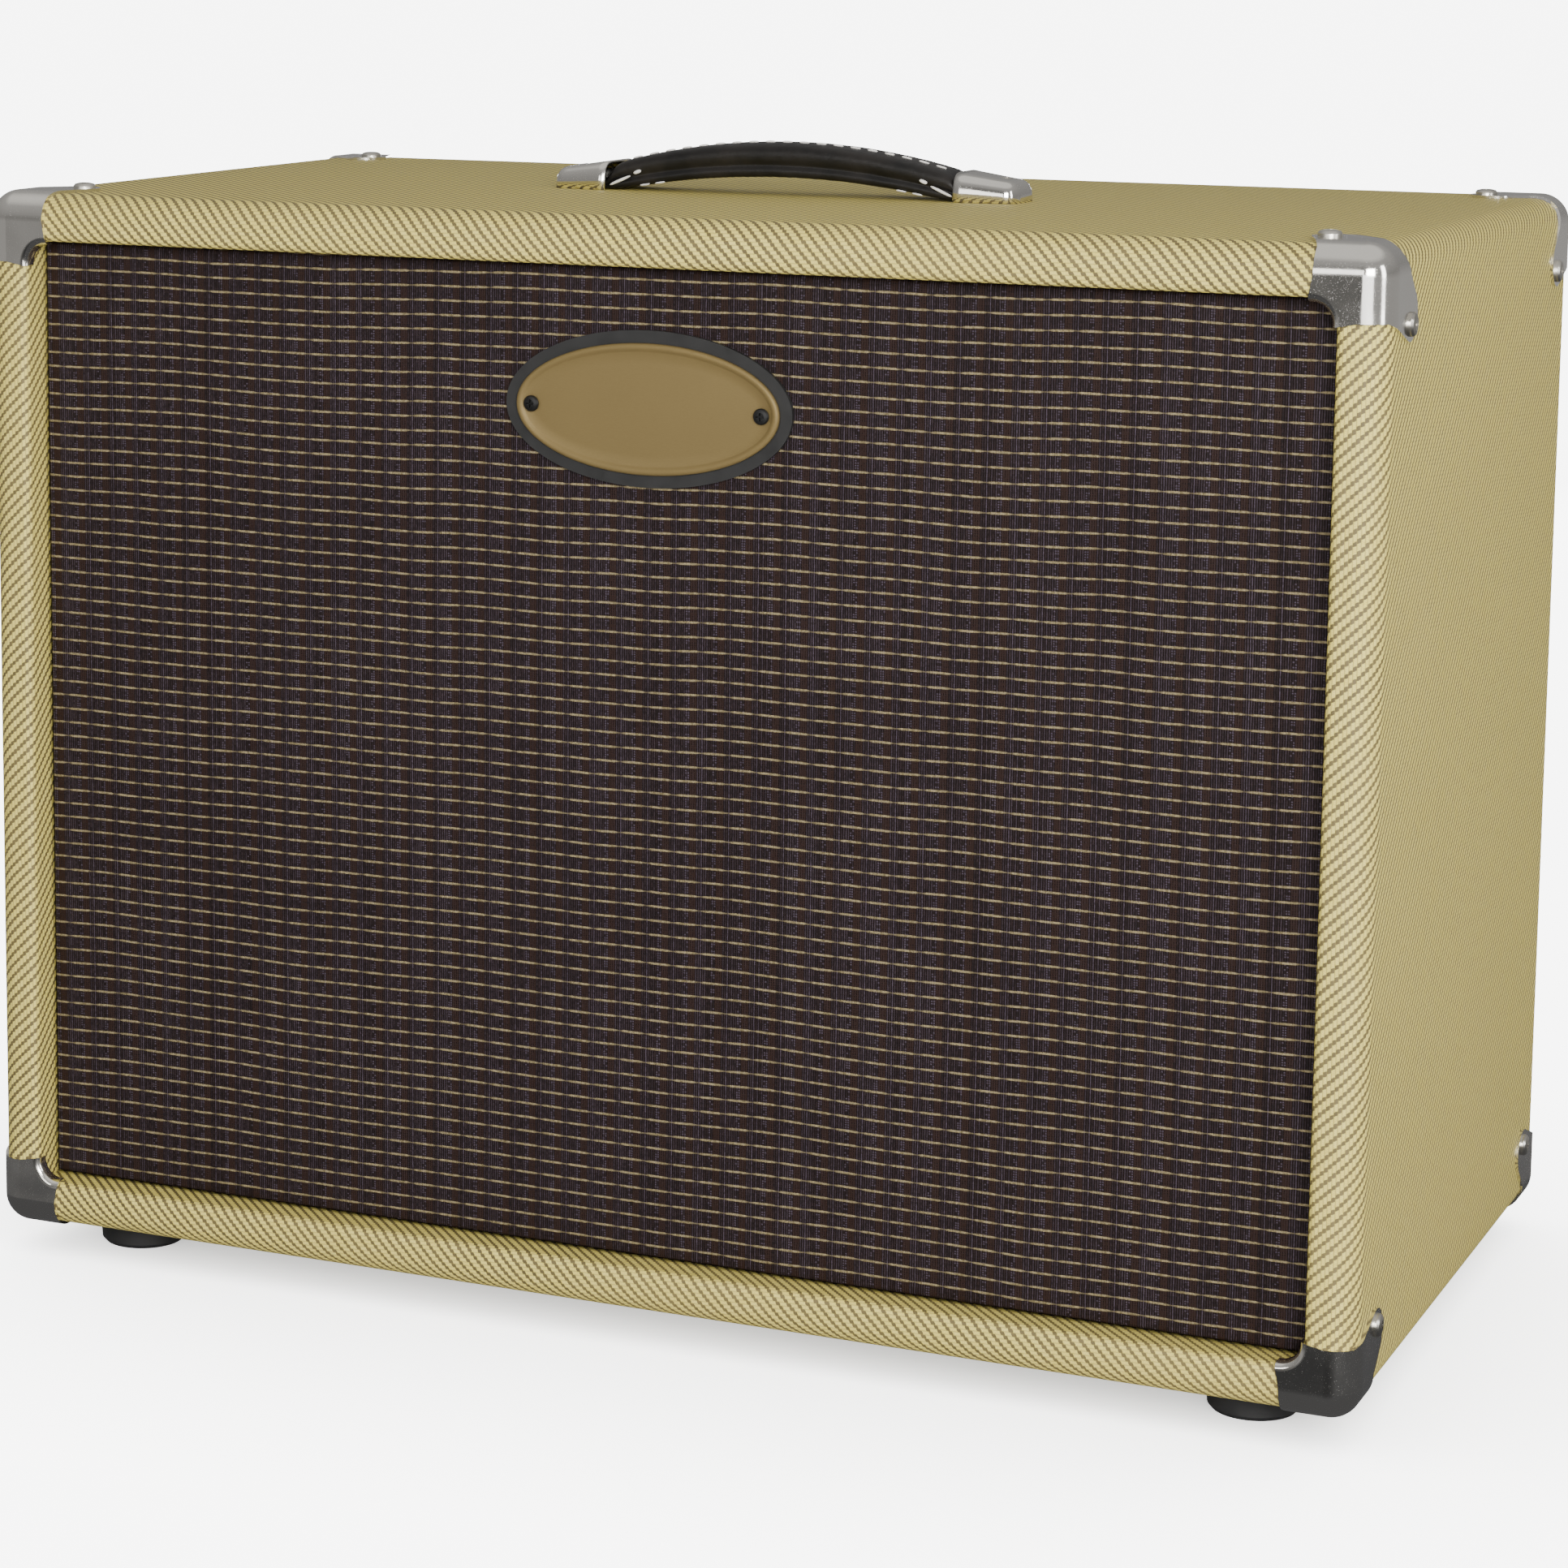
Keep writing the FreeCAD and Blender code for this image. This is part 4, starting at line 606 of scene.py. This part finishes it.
def make_grille():
    """Stretched grille cloth with its edges turned back around the baffle."""
    g_low, g_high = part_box("grille_cloth")
    inset, cloth_thick, wrap = 0.5 * MM, 0.4 * MM, 15 * MM
    columns, rows = 120, 90
    width, height = g_high.x - g_low.x - 2 * inset, g_high.z - g_low.z - 2 * inset
    front = g_low.y + cloth_thick
    radius = 1.2 * MM

    def ladder(length, count):
        """Positions across the sheet as (place, depth behind the front)."""
        inner = length / 2 - radius
        flat = [(inner * (2 * i / count - 1), 0.0) for i in range(count + 1)]
        bend = [(-length / 2, wrap), (-length / 2, radius), (-length / 2 + 0.3 * radius, 0.3 * radius)]
        return bend + flat + [(-place, depth) for place, depth in reversed(bend)]

    xs, zs = ladder(width, columns), ladder(height, rows)
    middle_z = (g_low.z + g_high.z) / 2
    verts, where = [], []
    for z, dz in zs:
        for x, dx in xs:
            depth = max(dx, dz)
            swell = noise.noise(Vector((x * 9, z * 9, 2.0))) * 0.25 * MM if depth == 0 else 0
            verts.append((x, front + depth + swell, middle_z + z))
            broad_sway = 1.5 * noise.noise(Vector((x * 11, z * 8, 7.0)))
            sway = broad_sway + 0.5 * noise.noise(Vector((x * 34, z * 12, 3.0)))
            lean = 0.5 * noise.noise(Vector((x * 7, z * 5, 11.0)))
            where.append((x + lean * MM, z + sway * MM))
    faces = strip_faces(len(zs), len(xs))
    uvs = [where[corner] for face in faces for corner in face]
    cloth = piece("grille_sheet", verts, faces, grille_weave(), CABINET, uvs)
    thicken(cloth, cloth_thick, 1.0)
    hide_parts("grille_cloth")


# ---------------------------------------------------------------- handle

def rise_of(x, half, foot, crown):
    """Height of a circular arch above the cabinet's top, at x."""
    height = crown - foot
    radius = (half * half + height * height) / (2 * height)
    return crown - radius + math.sqrt(max(radius * radius - x * x, 0))


STRAP_HALF = 78 * MM            # half length of the padded roll, without its tongues
UNDER_HALF = 68 * MM            # half length of the arch under it
CLEAR = 0.4 * MM                # least height of the strap above the cabinet's top


def strap_limits(x):
    """Underside and top of the strap above the cabinet's top, at x, and its half width."""
    if abs(x) > STRAP_HALF:
        return CLEAR, 2.8 * MM, 11.8 * MM
    under = max(rise_of(x, UNDER_HALF, 1.2 * MM, 7.4 * MM), CLEAR)
    top = rise_of(x, STRAP_HALF, 11.0 * MM, 22 * MM)
    into_cap = max((abs(x) - 72 * MM) / (5.4 * MM), 0.0)
    return under, top - 2.6 * MM * into_cap * into_cap, 13.3 * MM


# Right half of the strap's section: share of its half width, share of its height
STRAP_SECTION = [(0.0, 0.0), (0.80, 0.0), (0.92, 0.04), (0.98, 0.14), (0.97, 0.26), (0.87, 0.35),
                 (0.95, 0.43), (1.0, 0.55), (1.0, 0.71), (0.95, 0.85), (0.84, 0.94), (0.5, 0.985),
                 (0.0, 1.0)]


def make_strap():
    """Leather strap: a padded roll over a thinner one, bowed between the end caps."""
    steps = 56
    padded = [-77.4 + 154.8 * i / steps for i in range(steps + 1)]
    tongue = [79.0, 92.0]
    stations = [-place for place in reversed(tongue)] + padded + tongue
    ring = STRAP_SECTION + [(-across, up) for across, up in reversed(STRAP_SECTION[1:-1])]
    verts = []
    for station in stations:
        x = station * MM
        under, top, half = strap_limits(x)
        for across, up in ring:
            crease = 0.12 * MM * noise.noise(Vector((x * 160, across * 2, up * 3)))
            verts.append((x, across * half + crease, TOP_Z + under + up * (top - under) + crease))
    columns = len(ring)
    faces = strip_faces(len(stations), columns, closed=True)
    faces.append(tuple(range(columns)))
    faces.append(tuple(reversed(range((len(stations) - 1) * columns, len(stations) * columns))))
    strap = piece("handle_grip", verts, faces, leather(), "handle")
    smooth = strap.modifiers.new("smooth", "SUBSURF")
    smooth.levels = smooth.render_levels = 1
    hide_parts("handle_strap")


def make_caps(metal):
    """Cast end caps: boxes with round edges and leaning faces, open towards the strap."""
    steps, turns, round_from = 14, 28, 0.84
    for side, name in ((-1, "left"), (1, "right")):
        c_low, c_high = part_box(f"handle_cap_{name}")
        near, far = min(abs(c_low.x), abs(c_high.x)), max(abs(c_low.x), abs(c_high.x))
        tall, wide = c_high.z - TOP_Z, c_high.y
        verts = []
        for i in range(steps + 1):
            share = 1 - (1 - i / steps) ** 2
            past_round = max(share - round_from, 0.0) / (1 - round_from)
            end = max(1 - past_round ** 2, 0.02) ** 0.5
            half = wide * (1 - 0.24 * share) * (0.55 + 0.45 * end)
            height = tall * (1 - 0.34 * share) * (0.30 + 0.70 * end)
            for k in range(turns + 1):
                a = math.pi * k / turns
                across = math.copysign(abs(math.cos(a)) ** 0.30, math.cos(a))
                up = math.sin(a) ** 0.42 if 0 < k < turns else 0.0
                verts.append((side * (near + (far - near) * share), half * across * (1 - 0.07 * up),
                              TOP_Z + height * up))
        faces = strip_faces(steps + 1, turns + 1)
        faces.append(tuple(range(steps * (turns + 1), (steps + 1) * (turns + 1))))
        if side > 0:
            faces = [tuple(reversed(face)) for face in faces]
        cap = piece(f"cap_{name}", verts, faces, metal, CABINET)
        thicken(cap, 1.3 * MM)
        cap.data.set_sharp_from_angle(angle=math.radians(60))
        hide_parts(f"handle_cap_{name}")


def capsule(start, finish, thick, verts, faces):
    """Adds a short rounded stitch between two points."""
    along = finish - start
    length = along.length
    along.normalize()
    side = along.cross(Vector((0, 0, 1))).normalized()
    up = side.cross(along)
    around = 8
    stops = ((0.0, 0.35), (0.12, 0.8), (0.35, 1.0), (0.65, 1.0), (0.88, 0.8), (1.0, 0.35))
    first = len(verts)
    for share, girth in stops:
        middle = start + along * length * share
        for i in range(around):
            a = 2 * math.pi * i / around
            verts.append(middle + (side * math.cos(a) * 1.15 + up * math.sin(a) * 0.8) * thick / 2 * girth)
    faces.extend(tuple(first + corner for corner in reversed(face))
                 for face in strip_faces(len(stops), around, closed=True))
    faces.append(tuple(first + i for i in range(around)))
    last = first + (len(stops) - 1) * around
    faces.append(tuple(last + i for i in reversed(range(around))))


def make_stitches():
    """White thread: a row along the top, a short one below and two big stitches at each cap."""
    verts, faces = [], []

    def on_top(x):
        return Vector((x, -3.5 * MM, TOP_Z + strap_limits(x)[1] + 0.05 * MM))

    def below(x):
        return Vector((x, -12.4 * MM, TOP_Z + strap_limits(x)[0] + 0.3 * MM))

    pitch, length, each_way = 7.6 * MM, 4.4 * MM, 9
    for i in range(-each_way, each_way + 1):
        x = i * pitch
        capsule(on_top(x - length / 2), on_top(x + length / 2), 1.2 * MM, verts, faces)
    # ends and thickness in millimetres, on the strap's front edge
    big_stitches = (((67.5, 6.2), (76.8, 2.2), 1.6), ((62.6, 8.6), (65.8, 7.4), 2.0))
    for side in (-1, 1):
        for x in (52 * MM, 59 * MM):
            capsule(below(side * x), below(side * (x + length)), 0.9 * MM, verts, faces)
        for (x0, z0), (x1, z1), thick in big_stitches:
            start = Vector((side * x0 * MM, -13.6 * MM, TOP_Z + z0 * MM))
            finish = Vector((side * x1 * MM, -13.6 * MM, TOP_Z + z1 * MM))
            capsule(start, finish, thick * MM, verts, faces)
    thread = plain("white_thread", (0.82, 0.80, 0.76), rough=0.7, grain=2500, vary=0.1, relief=0.08)
    piece("handle_stitches", verts, faces, thread, "handle")


# ---------------------------------------------------------------- badge and rear details

def oval_ring(half_x, half_z, y, centre_z, count):
    """Points of an upright oval around x = 0."""
    turns = [2 * math.pi * i / count for i in range(count)]
    return [(half_x * math.cos(a), y, centre_z + half_z * math.sin(a)) for a in turns]


def make_badge(gold):
    """Plain oval plaque with a raised rim and a sunk field."""
    b_low, b_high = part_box("badge_plate")
    centre_z = (b_low.z + b_high.z) / 2
    half_x, half_z = (b_high.x - b_low.x) / 2, (b_high.z - b_low.z) / 2
    # inset from the outline and height above the plaque's back, in millimetres
    profile = [(0.0, 0.0), (0.0, 1.3), (0.4, 1.9), (1.2, 2.2), (2.2, 2.1), (3.0, 1.5), (3.6, 1.2),
               (8.0, 1.3), (16.0, 1.5)]
    count = 96
    verts = []
    for inset, height in profile:
        verts += oval_ring(half_x - inset * MM, half_z - inset * MM, b_high.y - height * MM, centre_z,
                           count)
    faces = strip_faces(len(profile), count, closed=True)
    faces.append(tuple(range((len(profile) - 1) * count, len(profile) * count)))
    faces.append(tuple(reversed(range(count))))
    plaque = piece("badge_plaque", verts, faces, gold, CABINET)
    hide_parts("badge_plate")


def middle_x(name):
    """The x of the middle of a CAD part."""
    n_low, n_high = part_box(name)
    return (n_low.x + n_high.x) / 2


def flat_bar(verts, faces, centre, along, length, width, y_back, y_front):
    """Adds a thin bar that lies on an upright plane facing +Y."""
    across = Vector((along.z, 0, -along.x))
    first = len(verts)
    for y in (y_back, y_front):
        for a, b in ((-1, -1), (1, -1), (1, 1), (-1, 1)):
            spot = centre + along * (a * length / 2) + across * (b * width / 2)
            verts.append((spot.x, y, spot.z))
    for face in ((3, 2, 1, 0), (4, 5, 6, 7), (1, 5, 4, 0), (2, 6, 5, 1), (3, 7, 6, 2), (0, 4, 7, 3)):
        faces.append(tuple(first + corner for corner in face))


def make_dial_marks():
    """Scale marks around each knob, and a short mark at each switch position."""
    verts, faces = [], []
    face_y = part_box("control_plate")[1].y
    ink_y = face_y + 0.06 * MM
    dial_radius, long_mark, short_mark, switch_mark = 19.5 * MM, 3.6 * MM, 2.2 * MM, 5 * MM
    for name in KNOBS:
        centre = Vector((middle_x(name), 0, ROW_Z))
        for number in range(11):
            angle = math.radians(240 - 30 * number)
            out = Vector((-math.cos(angle), 0, math.sin(angle)))
            length = long_mark if number % 5 == 0 else short_mark
            flat_bar(verts, faces, centre + out * dial_radius, out, length, 0.7 * MM, face_y, ink_y)
    for name in ("standby_toggle", "power_toggle"):
        for up, length in ((-1, short_mark), (1, switch_mark)):
            centre = Vector((middle_x(name), 0, ROW_Z + up * 14 * MM))
            flat_bar(verts, faces, centre, Vector((1, 0, 0)), length, 0.9 * MM, face_y, ink_y)
    ink = plain("dial_ink", (0.02, 0.02, 0.022), rough=0.45, grain=900)
    piece("dial_marks", verts, faces, ink, CABINET, smooth=False)


def make_knob_lines():
    """White index line along each pointer."""
    white = plain("index_white", (0.80, 0.79, 0.74), rough=0.45, grain=900, vary=0.05)
    knob_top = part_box("control_plate")[1].y + 16 * MM
    half_width = 0.6 * MM
    # distance from the knob's axis and height above its flat top, in millimetres
    rail = [(1.0, 0.05), (8.0, 0.05), (14.9, -4.3)]
    for name in KNOBS:
        x = middle_x(name)
        verts = []
        for lift in (0.05, -0.5):
            for reach, height in rail:
                for side in (-1, 1):
                    y = knob_top + height * MM + lift * MM
                    verts.append((x + side * half_width, y, ROW_Z + reach * MM))
        faces = [(2, 3, 1, 0), (4, 5, 3, 2), (9, 8, 6, 7), (11, 10, 8, 9), (6, 8, 2, 0), (8, 10, 4, 2),
                 (3, 9, 7, 1), (5, 11, 9, 3), (1, 7, 6, 0), (10, 11, 5, 4)]
        piece(f"{name}_line", verts, faces, white, name.replace("knob", "control"),
              smooth=False)


def lathe(name, profile, centre, material, count=48):
    """A piece turned about an axis along +Y; the profile is (radius, distance out) in millimetres."""
    verts = []
    for radius, out in profile:
        for i in range(count):
            a = 2 * math.pi * i / count
            spoke = Vector((radius * MM * math.cos(a), out * MM, radius * MM * math.sin(a)))
            verts.append(centre + spoke)
    faces = [tuple(reversed(face)) for face in strip_faces(len(profile), count, closed=True)]
    faces.append(tuple(range(count)))
    last = (len(profile) - 1) * count
    faces.append(tuple(reversed(range(last, last + count))))
    return piece(name, verts, faces, material, CABINET)


def make_lamp(chrome):
    """Pilot lamp: chrome bezel and a domed red jewel."""
    l_low, l_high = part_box("pilot_lamp")
    centre = Vector((middle_x("pilot_lamp"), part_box("control_plate")[1].y, (l_low.z + l_high.z) / 2))
    bezel_profile = [(6.0, -24.0), (7.0, -23.0), (7.0, -0.2), (8.8, 0.0), (8.8, 1.4), (8.2, 2.4),
                     (7.2, 2.8), (6.9, 2.0), (6.6, 1.2)]
    jewel_profile = [(6.4, 0.6), (6.5, 3.0), (5.9, 5.0), (4.6, 6.8), (2.6, 8.0), (0.8, 8.35)]
    red_glass = clear_glass("jewel_glass", (0.85, 0.03, 0.02), 0.04)
    bezel = lathe("lamp_bezel", bezel_profile, centre, chrome)
    lathe("lamp_glass", jewel_profile, centre, red_glass, count=16)
    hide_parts("pilot_lamp")


# ---------------------------------------------------------------- loudspeaker suspension

SUSPENSION_THICK = 0.8 * MM
# Radius and depth behind the baffle's back, in millimetres, from the clamped rim inwards
PLEATS = [(139 - 0.5 * i, 2.2 + 1.25 * (1 - math.cos(math.pi * i / 6))) for i in range(37)]
SURROUND = [(144.5, 2.2), (141.5, 2.2)] + PLEATS + [(120.0, 2.2)]
WAVES = [(62 - 0.75 * i, 61.2 + 1.5 * (1 - math.cos(2 * math.pi * i * 0.75 / 10))) for i in range(41)]
SPIDER = [(75.6, 72.2), (68.0, 72.2), (65.0, 68.0)] + WAVES + [(25.1, 61.2)]


def make_suspension(name, node, profile, moving, fixed, material):
    """A pleated ring between the cone's edge and the basket's rim; each point's share of the way from rim
    to cone is worked out but not used.
    """
    s_low, s_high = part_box("speaker_cone")
    axis_x, axis_z = middle_x("speaker_cone"), (s_low.z + s_high.z) / 2
    back_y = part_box("baffle_board")[1].y
    outline = [(r * MM, d * MM) for r, d in profile]
    outline += [(r, d + SUSPENSION_THICK) for r, d in reversed(outline)]
    fixed_radius, moving_radius = fixed * MM, moving * MM
    count = 96
    verts, shares = [], []
    for i in range(count):
        turn = 2 * math.pi * i / count
        for r, d in outline:
            verts.append((axis_x + r * math.cos(turn), back_y + d, axis_z + r * math.sin(turn)))
            shares.append(min(max((fixed_radius - r) / (fixed_radius - moving_radius), 0.0), 1.0))
    size = len(outline)
    faces = []
    for i in range(count):
        here, there = i * size, (i + 1) % count * size
        faces += [(here + k, there + k, there + (k + 1) % size, here + (k + 1) % size) for k in range(size)]
    ring = piece(name, verts, faces, material, None)
    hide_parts(node)
    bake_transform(ring)


# ---------------------------------------------------------------- finishes of the CAD parts

def smooth_cad(obj):
    """Rounds the shading across shallow angles and keeps sharp edges sharp."""
    for polygon in obj.data.polygons:
        polygon.use_smooth = True
    obj.data.set_sharp_from_angle(angle=math.radians(32))


def finish_cad():
    """Each CAD part gets its material; those that the meshes use too are given back."""
    speaker_z = (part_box("speaker_basket")[0].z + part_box("speaker_basket")[1].z) / 2
    nickel = plated("bright_nickel", (0.83, 0.81, 0.76))
    chrome = plated("bright_chrome", (0.84, 0.85, 0.86), 0.06, dents=0.12)
    gold = brushed("satin_gold", (0.185, 0.132, 0.048), 0.55, (1, 1, 30), metal=0.4)
    steel = plain("dull_nickel", (0.56, 0.54, 0.49), 0.34, 1.0, grain=500, relief=0.02)
    zinc = brushed("zinc_sheet", (0.60, 0.61, 0.60), 0.38, (40, 1, 1))
    birch = wood("birch_plywood", (0.70, 0.53, 0.33), (0.50, 0.34, 0.18), (0.15, 1, 1))
    birch_up = wood("birch_upright", (0.70, 0.53, 0.33), (0.50, 0.34, 0.18), (1, 1, 0.12))
    pine = wood("pine_cleat", (0.78, 0.60, 0.36), (0.60, 0.40, 0.20), (0.3, 1, 0.3), rings=14)
    stained = wood("stained_plywood", (0.020, 0.019, 0.018), (0.040, 0.036, 0.033), (0.12, 1, 1), 0.5)
    paper = ringed("cone_paper", (0.050, 0.045, 0.042), (0.10, 0.09, 0.085), speaker_z, 9 * MM, 0.85)
    amber = ringed("spider_cloth", (0.55, 0.33, 0.10), (0.70, 0.46, 0.17), speaker_z, 5 * MM, 0.7)
    copper = brushed("copper_wire", (0.78, 0.38, 0.20), 0.3, (1, 80, 1))
    looks = {
        birch: ["top_panel", "bottom_panel", "baffle_board"],
        birch_up: ["left_side_panel", "right_side_panel"],
        pine: ["wood_cleats"],
        stained: ["upper_back_panel", "lower_back_panel"],
        nickel: [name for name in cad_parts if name.startswith("corner_") and name != "corner_screws"]
        + ["handle_cap_left", "handle_cap_right"],
        steel: ["corner_screws", "foot_screws", "back_panel_screws", "handle_screws", "speaker_bolts"],
        chrome: ["control_plate", "toggle_switches", "power_toggle", "standby_toggle", "pilot_lamp"],
        gold: ["badge_plate"],
        zinc: ["chassis", "speaker_top_plate", "speaker_yoke"],
        paper: ["speaker_cone", "dust_cap", "speaker_surround"],
        amber: ["spider"],
        copper: ["voice_coil"],
        plain("black_oxide", (0.018, 0.018, 0.018), 0.42, 0.6): ["badge_screws"],
        plain("foot_rubber", (0.016, 0.016, 0.017), 0.62, grain=700, relief=0.05): ["rubber_feet"],
        plain("backing_plastic", (0.015, 0.015, 0.015), 0.5, grain=900, relief=0.03): ["badge_backing"],
        plain("basket_paint", (0.035, 0.035, 0.037), 0.36, grain=500, relief=0.05): ["speaker_basket"],
        plain("cork_board", (0.34, 0.23, 0.13), 0.85, grain=900, vary=0.35, relief=0.2): ["speaker_gasket"],
        plain("ferrite", (0.055, 0.055, 0.058), 0.7, grain=600, relief=0.06): ["speaker_magnet"],
        plain("tag_brass", (0.66, 0.50, 0.26), 0.35, 1.0): ["speaker_terminals"],
        plain("knob_plastic", (0.014, 0.014, 0.015), 0.22, grain=500, relief=0.01):
            ["volume_knob", "treble_knob", "bass_knob"],
        plain("pot_metal", (0.62, 0.56, 0.42), 0.33, 1.0): ["potentiometers"],
        plain("socket_plastic", (0.018, 0.018, 0.019), 0.42, grain=800, relief=0.04):
            ["jack_sockets", "mains_inlet"],
        plain("board_fibre", (0.15, 0.10, 0.05), 0.6, grain=1200, vary=0.25): ["circuit_board"],
        plain("component_dip", (0.72, 0.30, 0.05), 0.3, grain=500): ["board_components"],
        plain("glazed_ceramic", (0.80, 0.78, 0.72), 0.25, grain=300, vary=0.05): ["valve_sockets"],
        clear_glass("valve_glass", (0.96, 0.98, 0.97)): ["valves"],
        plain("transformer_enamel", (0.022, 0.022, 0.024), 0.34, grain=400, relief=0.04):
            ["power_transformer", "output_transformer"],
        plain("lead_rubber", (0.02, 0.02, 0.021), 0.5, grain=900, relief=0.05): ["speaker_lead"],
    }
    for material, names in looks.items():
        for name in names:
            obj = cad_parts[name]
            obj.data.materials.clear()
            obj.data.materials.append(material)
            smooth_cad(obj)
    return {"gold": gold, "chrome": chrome, "nickel": nickel, "paper": paper, "amber": amber}


make_camera()
make_studio()
finish = finish_cad()
make_covering()
make_grille()
make_strap()
make_caps(finish["nickel"])
make_stitches()
make_badge(finish["gold"])
make_lamp(finish["chrome"])
make_dial_marks()
make_knob_lines()
make_suspension("pleated_surround", "speaker_surround", SURROUND, moving=120.5,
                fixed=139.5, material=finish["paper"])
make_suspension("corrugated_spider", "spider", SPIDER, moving=30.0, fixed=67.0,
                material=finish["amber"])
